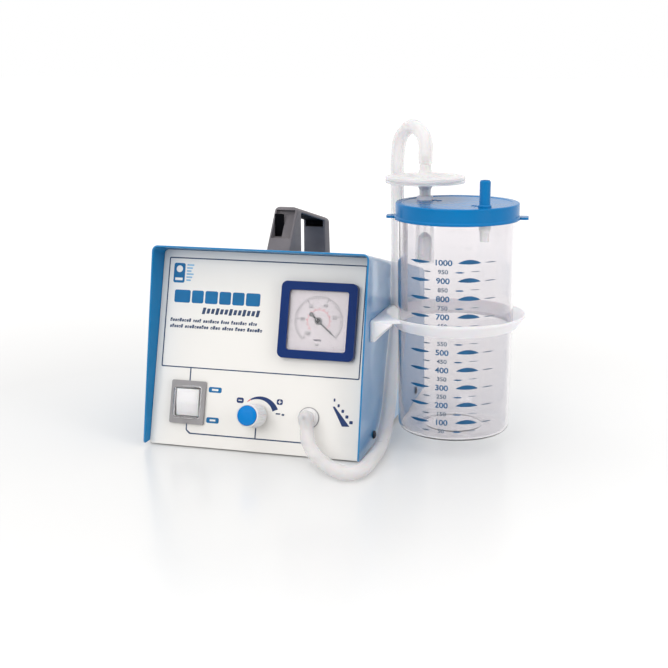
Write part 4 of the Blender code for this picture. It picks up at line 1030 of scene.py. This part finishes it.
def build_switch():
    """The switch's frame and well, with the key tipped to its rest side."""
    spot = on_panel(SWITCH)
    opening = rounded((0, 0), 21.6, 24.8, 0.8, 3)
    bezel = plate("switch_frame", [rounded((0, 0), 30.5, 36.3, 1.6, 5), opening], 0.2, 2.8, spot)
    dress(soften(bezel, 0.6 * MM, 3, 50), "switch_grey", "switch_housing")
    well = plate("switch_well", [rounded((0, 0), 25.2, 30.2, 0.6, 2), opening], -20, 0.2, spot)
    trim(smooth(well), "switch_grey", "switch_housing")

    low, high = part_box("switch_rocker")
    half_w = (high.x - low.x) / 2 / MM
    tilt = radians(9)
    half, steps = 11.5, 12
    crown = []
    for k in range(steps + 1):
        v = half - 2 * half * k / steps
        crown.append((v, 2.5 + 1.1 * (1 - abs(v) / half) ** 1.6))
    outline = [(-half, -2), (-3, -5), (3, -5), (half, -2)] + crown
    tipped = [(v * cos(tilt) - w * sin(tilt), v * sin(tilt) + w * cos(tilt)) for v, w in outline]
    hinge = frame_of(UP, OUT, ACROSS, joint("power_switch")["pos_m"])
    rocker = plate("rocker_key", [tipped], -half_w, half_w, hinge)
    dress(soften(rocker, 0.7 * MM, 4, 25), "white_plastic", "switch_rocker")
    build_boot(spot)


def build_boot(spot):
    """A soft clear cover, drawn in over the key. Its rings have a level, two half widths and a corner."""
    levels = [(3.1, 11.9, 13.6, 2.4), (4.6, 11.7, 13.4, 2.6), (7.4, 11.1, 12.8, 3.0), (8.6, 10.5, 12.2, 3.2),
              (9.2, 9.4, 11.1, 3.2), (9.4, 6.0, 7.6, 3.0)]
    bm = bmesh.new()
    rings = []
    for w, x, y, corner in levels:
        outline = in_mm(rounded((0, 0), 2 * x, 2 * y, corner, 8))
        rings.append([bm.verts.new((px, py, w * MM)) for px, py in outline])
    for first, second in zip(rings, rings[1:]):
        for k in range(len(first)):
            n = (k + 1) % len(first)
            bm.faces.new((first[k], first[n], second[n], second[k]))
    bm.faces.new(rings[-1])
    boot = add("splash_cover", bm, spot)
    if boot.data.polygons[-1].normal.dot(OUT) < 0:
        boot.data.flip_normals()
    dress(smooth(thicken(boot, 0.6 * MM), 50), "clear_vinyl", "switch_boot")


def build_regulator():
    """A finely fluted knob with a blue cap, over the valve's parts."""
    spot = on_panel(KNOB)
    length = 24.0

    def fluted(r, z, a):
        inside = 4.5 * MM < z < (length - 1.4) * MM and r > 9.2 * MM
        return r - (0.45 * MM * (0.5 - 0.5 * cos(24 * a)) ** 3 if inside else 0)

    body = [(0, length - 1.6), (8.3, length - 1.6), (8.3, length), (9.1, length), (9.6, length - 0.8)]
    body += [(9.6, length - 1.8 - (length - 7) * k / 6) for k in range(7)]
    body += [(9.9, 4.0), (9.9, 3.2), (3.3, 3.2), (3.3, 16.0), (0, 16.0)]
    knob = turned("knob_body", body, spot, 0.35, 240, arc_steps=3, shape=fluted)
    dress(smooth(knob, 45), "white_plastic", "regulator_knob")
    cap = [(0, 26.0), (3.2, 25.95), (6.0, 25.6), (7.9, 24.9), (8.2, 24.3), (8.0, 22.8), (0, 22.8)]
    dress(turned("knob_cap_disc", cap, spot, 0.4, 96), "cap_blue", "knob_cap")
    for name in ("regulator_spindle", "regulator_body"):
        keep_node(name, "brass")
    for name in ("regulator_nut", "valve_pin"):
        keep_node(name, "steel")


def build_port():
    """The inlet's barbed spigot, with its gasket, a dark ring that also paints the shade round the spigot's
    flange.
    """
    spot = on_panel(PORT)
    profile = [(1.9, 15.4), (2.9, 15.4), (3.3, 13.2), (2.8, 9.8), (3.2, 9.4), (2.8, 3.6), (6.0, 3.6),
               (6.6, 3.0), (6.6, 1.9), (7.8, 1.7), (8.2, 1.2), (8.2, 0.2), (4.9, 0.2), (4.9, -10.0),
               (2.4, -10.6), (2.4, -16.0), (1.9, -16.0)]
    port = turned("inlet_spigot", profile, spot, 0.3, 72, True, 3)
    dress(port, "port_grey", "inlet_port")
    # A grey rubber gasket, dark enough to also paint the shade of the groove round the flange.
    gasket_and_shade = [(7.6, 0.1), (8.9, 0.1), (8.9, 0.7), (8.4, 0.9), (7.6, 0.9)]
    ring = turned("inlet_gasket_and_shade", gasket_and_shade, spot, 0.15, 72, True, 3)
    trim(ring, "switch_grey", "inlet_port")


# ---------------------------------------------------------------- jar and scale

def jar_radius(z):
    """Outer radius of the jar's wall at a height, both in metres."""
    low, high = JAR_LOW.z, JAR_HIGH.z - JAR_NECK * MM
    return (JAR_R_BOTTOM + (JAR_R_TOP - JAR_R_BOTTOM) * min(1, max(0, (z - low) / (high - low)))) * MM


def build_jar():
    """The wall, with a raised middle in its floor, a straight neck and a bead at its rim."""
    rim = (JAR_HIGH.z - JAR_LOW.z) / MM
    neck = rim - JAR_NECK
    lift = 1.4
    inner_top, inner_foot = JAR_R_TOP - JAR_WALL, JAR_R_BOTTOM - JAR_WALL
    bead = JAR_R_TOP + 0.3
    profile = [(0, lift + JAR_WALL), (24, lift + JAR_WALL, 6), (31, JAR_WALL, 6), (inner_foot, JAR_WALL, 4.5),
               (inner_top, neck, 2), (inner_top, rim, 0.6), (bead, rim, 0.4), (bead, rim - 3, 0.4),
               (JAR_R_TOP, rim - 3.5, 0.3), (JAR_R_TOP, neck, 2), (JAR_R_BOTTOM, 0, 6.5), (31, 0, 3),
               (24, lift, 6), (0, lift)]
    jar = turned("jar_wall", profile, upright(JAR, JAR_LOW.z), 0, 160, arc_steps=8)
    dress(smooth(jar, 50), "jar_clear", "jar")
    build_jar_scale()


def wrap(name, meshes, look):
    """Bends flat shapes, drawn as (arc length, height), round the outside of the jar."""
    bm = bmesh.new()
    for mesh in meshes:
        bm.from_mesh(mesh)
    bmesh.ops.remove_doubles(bm, verts=bm.verts, dist=WELD)
    width = 1.5 * MM
    xs = [v.co.x for v in bm.verts]
    for k in range(int(min(xs) / width) - 1, int(max(xs) / width) + 2):
        bmesh.ops.bisect_plane(bm, geom=bm.verts[:] + bm.edges[:] + bm.faces[:], plane_co=(k * width, 0, 0),
                               plane_no=(1, 0, 0))
    for v in bm.verts:
        turn = v.co.x / (JAR_R_TOP * MM)
        r = jar_radius(v.co.y) + INK_GAP + INK_T / 2 + v.co.z
        v.co = (JAR.x + r * sin(turn), JAR.y - r * cos(turn), v.co.y)
    trim(add(name, bm), look, "jar")


def mark(left, right, z, thick, belly):
    """The mesh of a mark pointed at both ends, fuller above its line or below it.

    Its ends are in degrees round the jar, and its level and thickness in millimetres."""
    start, end = [radians(turn) * JAR_R_TOP for turn in (left, right)]
    steps = 12
    ahead = [k / steps for k in range(steps + 1)]
    points = [(start + (end - start) * t, z + thick * (1 - belly) * sin(pi * t) ** 0.8) for t in ahead]
    points += [(start + (end - start) * t, z - thick * belly * sin(pi * t) ** 0.8) for t in ahead[-2:0:-1]]
    drawing = slab("mark", [in_mm(points)], -INK_T / 2, INK_T / 2)
    mesh = drawing.data
    bpy.data.objects.remove(drawing)
    return mesh


def build_jar_scale():
    """Levels up to a litre: figures between a left and a right column of marks, and a fine third column."""
    figures, marks, fine = [], [], []
    for level in range(1, SCALE_LEVELS + 1):
        z = SCALE_ZERO + SCALE_STEP * level
        major = level % 2 == 0
        shape = text_shape(str(level * 50), (6.6 if major else 4.9) * MM)
        spot = Matrix.Translation((radians(-2) * JAR_R_TOP * MM, z * MM, 0))
        shape.transform(spot @ Matrix.Diagonal((1.14, 0.95, 1, 1)))
        if major:
            figures.append(shape)
            marks += [mark(-38.5, -14.5, z + 0.3, 2.5, 0.6), mark(12, 34.5, z, 3.7, 0.2)]
            fine.append(mark(38, 52, z + 0.4, 0.8, 0.5))
        else:
            fine += [shape, mark(-22.5, -13.5, z, 1.1, 0.5)]
            marks.append(mark(9.5, 18.5, z, 1.2, 0.5))
            fine.append(mark(24, 34, z + 0.8, 0.5, 0.5))
    wrap("jar_scale_figures", figures, "ink_jar")
    wrap("jar_scale_marks", marks, "ink_jar")
    wrap("jar_scale_fine_marks", fine, "ink_jar_grey")


# ---------------------------------------------------------------- lid, float valve and filter

def build_lid():
    """The lid's shell with its nozzle, drip tube and filter port. Heights are from its top."""
    skirt = -LID_DEPTH
    inner = JAR_R_TOP + 0.8
    lip = LID_R + 0.8
    profile = [(0, -0.5), (44.5, -0.5, 0.8), (45.3, 0, 0.8), (LID_R, 0, 1.4), (LID_R, skirt + 2.8, 0.8),
               (lip, skirt + 1.9, 0.5), (lip, skirt, 0.5), (inner, skirt, 0.4), (inner, -1.8, 0.5), (0, -1.8)]
    axis = upright(JAR, LID_TOP)
    at_nozzle = upright(NOZZLE, LID_TOP)
    at_port = upright(FILTER, LID_TOP)
    shell = turned("lid_shell", profile, axis, 0.4, 160, arc_steps=5)
    for place, radius in ((at_nozzle, 3.6), (at_port, 5.2)):
        combine(shell, plate("lid_hole", [circle((0, 0), radius)], -10, 10, place), "DIFFERENCE")
    dress(smooth(shell, 40), "blue_plastic", "jar_lid")

    tip = NOZZLE_RISE
    nozzle = [(2.7, tip), (3.6, tip, 0.3), (4.35, tip - 1.4, 0.5), (4.35, 2.4, 0.6), (5.3, 1.4, 0.4),
              (5.3, -0.8, 0.2), (5.3, -2.6, 0.3), (2.7, -2.6)]
    trim(turned("lid_nozzle", nozzle, at_nozzle, 0, ring=True), "blue_plastic", "jar_lid")
    stub = [(2.7, -2.5), (4.6, -2.5), (4.5, -17.5), (3.8, -18.5), (3.5, -26.6), (3.1, -27.0), (2.7, -27.0)]
    boss = [(4.85, 2.6), (6.4, 2.6), (6.7, 2.0), (6.9, -0.3), (6.9, -2.6), (4.85, -2.6)]
    for name, outline, place in (("lid_drip_tube", stub, at_nozzle), ("lid_port_boss", boss, at_port)):
        trim(turned(name, outline, place, 0.4, ring=True), "frosted_plastic", "jar_lid")
    build_lid_details(axis, skirt)


def build_lid_details(axis, skirt):
    """The two pull tabs, the arrows by the ports, and the seal."""
    for name, turn in (("lid_tab_right", 8), ("lid_tab_left", 188)):
        out = axis @ Matrix.Rotation(radians(turn), 4, "Z")
        tab = plate(name, [rounded((LID_R + 3.4, 0), 7.6, 12, 2.2, 8)], skirt + 0.2, skirt + 2.2, out)
        trim(soften(tab, 0.5 * MM, 3), "blue_plastic", "jar_lid")

    arrows = []
    for spot, aim in ((NOZZLE, 1), (FILTER.xy, -1)):
        inward = (JAR.xy - spot).normalized()
        side = Vector((-inward.y, inward.x)) * 2.2 * MM
        thick = inward * aim * 0.9 * MM
        for gap in (11.0, 15.5):
            base = spot + inward * gap * MM
            head = base + inward * aim * 3 * MM
            line = [base + side, head, base - side]
            arrows.append(line + [p + thick for p in reversed(line)])
    raised = slab("lid_arrows", arrows, LID_TOP - 0.52 * MM, LID_TOP - 0.1 * MM)
    trim(soften(raised, 0.1 * MM, 1), "blue_plastic", "jar_lid")

    seal = [(48.6, -0.6), (48.6, 0.9), (46.4, 0.9), (46.4, -0.6)]
    place = upright(JAR, middle("lid_seal").z - 0.15 * MM)
    dress(turned("seal_ring", seal, place, 0.4, 128, ring=True), "black_rubber", "lid_seal")


def build_float_valve():
    """A cage of six ribs that hangs from the lid, with a hollow float in it."""
    low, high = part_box("float_cage")
    top = (high.z - low.z) / MM
    axis = upright(FILTER, low.z)
    profile = [(8.0, top), (8.0, 0, 0.5), (4.4, 0, 0.4), (4.4, 1.4, 0.4), (6.8, 1.4, 0.4), (6.8, top)]
    cage = turned("valve_cage", profile, axis, 0, 72, ring=True)
    for turn in (20, 80, 140):
        across = axis @ Matrix.Rotation(radians(turn), 4, "Z") @ FROM_FRONT
        combine(cage, plate("window", [rounded((0, 21), 30, 26, 1, 2)], -2, 2, across), "DIFFERENCE")
    dress(smooth(cage, 40), "cage_plastic", "float_cage")
    body = [(0, 24), (1.6, 24), (5.9, 20), (5.9, 0), (4.7, 0), (4.7, 19), (1.2, 21.6), (0, 21.6)]
    bob = turned("float_body", body, upright(FILTER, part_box("float")[0].z), 0.6)
    dress(bob, "frosted_plastic", "float")


def build_filter():
    """Two welded shells with radial ribs round a flat membrane."""
    axis = upright(FILTER, FILTER_Z)
    lower = [(33.0, -0.1), (33.0, -2.5), (31.2, -2.7), (30.6, -2.1), (12.0, -3.0), (6.4, -5.0), (4.8, -8.4),
             (4.55, -14.0), (4.4, -22.0), (2.5, -22.0), (2.5, -7.0), (5.2, -3.4), (12.0, -1.8), (30.2, -0.7),
             (30.2, -0.1)]
    upper = [(2.8, 19.0), (3.0, 18.0), (3.0, 12.4), (4.6, 12.2), (4.8, 8.0), (6.0, 5.0), (12.0, 3.0),
             (30.6, 2.1), (31.2, 2.7), (33.0, 2.5), (33.0, 0.1), (30.2, 0.1), (30.2, 0.7), (12.0, 1.8),
             (5.2, 3.4), (2.0, 6.6), (2.0, 19.0)]
    rib_count = 16
    corners = ((9, -0.35), (29.6, -0.35), (29.6, 0.35), (9, 0.35))
    ribs = []
    for k in range(rib_count):
        turn = Matrix.Rotation(2 * pi * k / rib_count, 2)
        ribs.append([turn @ Vector(p) for p in corners])
    for name, side, profile in (("filter_lower", -1, lower), ("filter_upper", 1, upper)):
        shell = turned(name, profile, axis, 0.35, 128, True, 3)
        dress(smooth(shell, 40), "filter_plastic", name + "_shell")
        low, high = sorted((side * 1.2, side * 3.1))
        spokes = plate(name + "_ribs", ribs, low, high, axis)
        for v in spokes.data.vertices:
            out = (v.co.xy - FILTER.xy).length
            if side * (v.co.z - FILTER_Z) > 2 * MM:
                v.co.z = FILTER_Z + side * (4.4 * MM - 2.3 / 30 * out)
        trim(spokes, "filter_plastic", name + "_shell")
    sheet = [(0, 0.3), (29.6, 0.3), (29.6, -0.3), (0, -0.3)]
    dress(turned("filter_sheet", sheet, axis, 0.2, 96), "membrane", "filter_membrane")


# ---------------------------------------------------------------- holder and hose

def build_holder():
    """One moulding: a flared collar for the jar, a web, and a flange screwed to the case.

    x is measured from the case's side, y from the jar's axis and z from the collar's top."""
    low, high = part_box("jar_holder")
    corner = Matrix.Translation((low.x, JAR.y, high.z))
    jar_x = (JAR.x - low.x) / MM
    root = 51.8
    neck = root - 6
    web_low, web_high = -2.8, -0.1
    collar = [(58.0, 0), (57.6, -2.0, 0.5), (50.6, -11, 0.6), (47.9, -11, 0.5), (48.2, -8.4, 0.6),
              (55.8, -0.6, 0.5), (56.6, 0)]
    ring = turned("collar_and_bracket", collar, upright(JAR, high.z), 0.3, 144, ring=True)

    half = [(0.4, root), (21.9, neck), (34.4, 34)]
    web = plate("web", [[(x, -y) for x, y in half] + half[::-1]], web_low, web_high, corner)
    soften(web, 0.5 * MM, 2)
    combine(web, plate("opening", [circle((jar_x, 0), 56.4, 144)], -8, 5, corner), "DIFFERENCE")
    flange = plate("flange", [rounded((0, -9.2), 2 * root, 17.6, 2.0, 5)], 0, 3, corner @ FROM_RIGHT)
    combine(ring, web)
    combine(ring, soften(flange, 0.5 * MM, 2))
    gusset = [(0.4, -17.4), (18, web_low + 0.6), (0.4, web_low + 0.6)]
    for near in (0.4 - root, root - 3.4):
        wing = plate("gusset", [gusset], -near - 3, -near, corner @ FROM_FRONT)
        combine(ring, soften(wing, 0.4 * MM, 2))
    hose_x, hose_y = (HOSE_LINE.x - low.x) / MM, (HOSE_LINE.y - JAR.y) / MM
    slot = circle((hose_x, hose_y), HOSE_R / MM + 0.7)
    mouth = rounded((0, hose_y), 2 * hose_x, 12, 0.5, 2)
    for outline in (slot, mouth):
        combine(ring, plate("slot", [outline], -40, 40, corner), "DIFFERENCE")
    dress(smooth(ring, 35), "frosted_plastic", "jar_holder")


def from_spot(spot, points):
    """Places from offsets in x and y from a spot, and heights, all in millimetres."""
    return [Vector((spot.x + x * MM, spot.y + y * MM, z * MM)) for x, y, z in points]


def build_hoses():
    """The suction hose, in two lengths that meet above the holder."""
    port = [on_panel(PORT) @ Vector((0, 0, w * MM)) for w in (4, 8, 11.5)]
    floor = 6.2
    drop = [(2.7, -15.4, 27.7), (4.7, -19.4, 19.0), (10.5, -23.4, 10.7), (18.8, -31.4, 7.5)]
    sweep = [(33.8, -46.2, floor), (47.8, -53.1, floor), (55.9, -41.3, floor), (57.3, -9.6, floor),
             (56.2, 15.6, 6.4), (54.7, 34.6, 9.5), (53.6, 48.6, 17), (53.2, 57.6, 28)]
    cut = HOSE_CUT / MM
    stretch_low = 101
    rise = [(0, -24, 42), (0, -18, 58), (0, -11.5, 75), (0, -4, 90), (0, 0, stretch_low), (0, 0, 112),
            (0, 0, 130), (0, 0, cut)]
    run = port + from_spot(on_panel(PORT).translation, drop + sweep) + from_spot(HOSE_LINE, rise)
    lower = hose("hose_run", run)
    finish_hose(lower, "hose_lower")

    bow = [(0, 0, cut + 0.1), (0, 0.5, cut + 7), (-1.3, 4.5, 171), (-3.9, 14, 193), (-6.2, 21.5, 215),
           (-6.4, 23.2, 235), (-3.0, 20.2, 252), (8.8, 10.5, 262.2), (20.2, -0.5, 256.5), (23.9, -5.2, 248.0)]
    tail = [Vector((FILTER.x, FILTER.y, FILTER_Z + lift * MM)) for lift in (22, 17, 12.7)]
    upper = hose("hose_bow", from_spot(HOSE_LINE, bow) + tail)
    finish_hose(upper, "hose_upper")


def finish_hose(obj, node_name):
    """Gives a length of hose its material, hides the node it stands for and bakes its place into its mesh."""
    obj.data.materials.append(MATERIALS["silicone"])
    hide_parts(node_name)
    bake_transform(obj)


# ---------------------------------------------------------------- inside the case

def dress_inside():
    """The pump, its motor and its hoses are shown as the frame has them."""
    looks = {
        "steel": ("pump_base", "motor_rotor", "crank_eccentric"), "core": ("motor_stator",),
        "grey_plastic": ("fan",), "black_plastic": ("silencer",),
        "aluminium": ("piston", "pump_cylinder", "cylinder_head"),
        "black_rubber": ("damper_front_left", "damper_front_right", "damper_rear_left", "damper_rear_right")}
    for look, names in looks.items():
        for name in names:
            keep_node(name, look, 0.3 * MM)
    for name in ("inner_hose_inlet", "inner_hose_pump"):
        keep_node(name, "silicone")


# ---------------------------------------------------------------- stage, light and camera

def build_stage():
    """A white floor that glows a little more with distance, so that it runs into the background."""
    bm = bmesh.new()
    bmesh.ops.create_grid(bm, x_segments=8, y_segments=8, size=12)
    floor = add("floor", bm, Matrix.Translation((0, 0, -0.3 * MM)))
    material, tree, shader = new_tree("studio_floor")
    near, far = 0.25, 1.3
    tone = node(tree, "Mix", {"A": (0.62, 0.62, 0.62, 1), "B": (0.70, 0.70, 0.695, 1),
                              "Factor": ray_is(tree, *DIRECT)}, data_type="RGBA")
    place = node(tree, "TexCoord", {}).outputs["Object"]
    distance = node(tree, "VectorMath", {0: place}, operation="LENGTH").outputs["Value"]
    glow = maths(tree, "MULTIPLY", stretch(tree, distance, 0.03, 0.45, near, far),
                 ray_is(tree, *DIRECT, "Is Glossy Ray"))
    mirrored = maths(tree, "MULTIPLY_ADD", ray_is(tree, "Is Glossy Ray"), 0.2, glow)
    feed(tree, shader, {
        "Base Color": tone.outputs["Result"], "Roughness": 0.22, "Emission Color": (1, 1, 1, 1),
        "Emission Strength": mirrored, "Specular IOR Level": stretch(tree, distance, 0.4, 0.0, near, far)})
    floor.data.materials.append(material)
    build_world()


def build_world():
    """White where it is seen directly. As a light it is bright above and behind, and dim in front."""
    world = bpy.data.worlds.new("studio")
    bpy.context.scene.world = world
    world.use_nodes = True
    tree = world.node_tree
    tree.nodes.clear()
    place = node(tree, "TexCoord", {}).outputs["Generated"]
    towards = node(tree, "VectorMath", {0: place, 1: (0.0, 0.75, 0.65)}, operation="DOT_PRODUCT")
    strength = stretch(tree, towards.outputs["Value"], 0.14, 1.0, -0.5, 0.45, "SMOOTHSTEP")
    felt = node(tree, "Background", {"Color": (1, 0.99, 0.985, 1), "Strength": strength})
    seen = node(tree, "Background", {"Color": (1, 1, 1, 1), "Strength": 1.0})
    mix = node(tree, "MixShader", {"Fac": ray_is(tree, *DIRECT), 1: felt.outputs["Background"],
                                   2: seen.outputs["Background"]})
    node(tree, "OutputWorld", {"Surface": mix.outputs["Shader"]})


def softbox(name, offset, width, height, power, seen_in_gloss=True):
    """A soft lamp at an offset from the object's middle, aimed at it."""
    centre = (CAD_BOX[0] + CAD_BOX[1]) / 2
    data = bpy.data.lights.new(name, "AREA")
    data.shape = "RECTANGLE"
    data.size = width
    data.size_y = height
    data.energy = power
    lamp = link_new(name, data)
    lamp.location = (centre.x + offset[0], centre.y + offset[1], offset[2])
    lamp.rotation_euler = (centre - lamp.location).to_track_quat("-Z", "Y").to_euler()
    lamp.visible_glossy = seen_in_gloss


def build_lights():
    softbox("overhead", (-0.1, -0.1, 1.7), 1.6, 1.6, 7)
    softbox("key_right", (1.25, -0.62, 0.5), 0.5, 1.1, 6, False)
    softbox("front_fill", (-0.5, -1.7, 0.9), 1.3, 1.1, 20, False)


def build_camera():
    data = bpy.data.cameras.new("camera")
    data.lens = 66.3
    data.sensor_width = 36
    camera = link_new("camera", data)
    yaw, pitch, roll = radians(16.19), radians(13.12), radians(-0.25)
    forward = Vector((-sin(yaw) * cos(pitch), cos(yaw) * cos(pitch), -sin(pitch)))
    level = Vector((cos(yaw), sin(yaw), 0))
    above = level.cross(forward)
    right = level * cos(roll) + above * sin(roll)
    camera.matrix_world = frame_of(right, right.cross(forward), -forward, (0.4117, -0.9313, 0.3267))
    bpy.context.scene.camera = camera


def set_view():
    scene = bpy.context.scene
    scene.view_settings.view_transform = "Standard"
    scene.view_settings.look = "None"
    scene.cycles.max_bounces = 14
    scene.cycles.transmission_bounces = 14
    scene.cycles.transparent_max_bounces = 24


build_case()
build_panel_print()
build_gauge()
build_switch()
build_regulator()
build_port()
build_jar()
build_lid()
build_float_valve()
build_filter()
build_holder()
build_hoses()
dress_inside()
build_stage()
build_lights()
build_camera()
set_view()
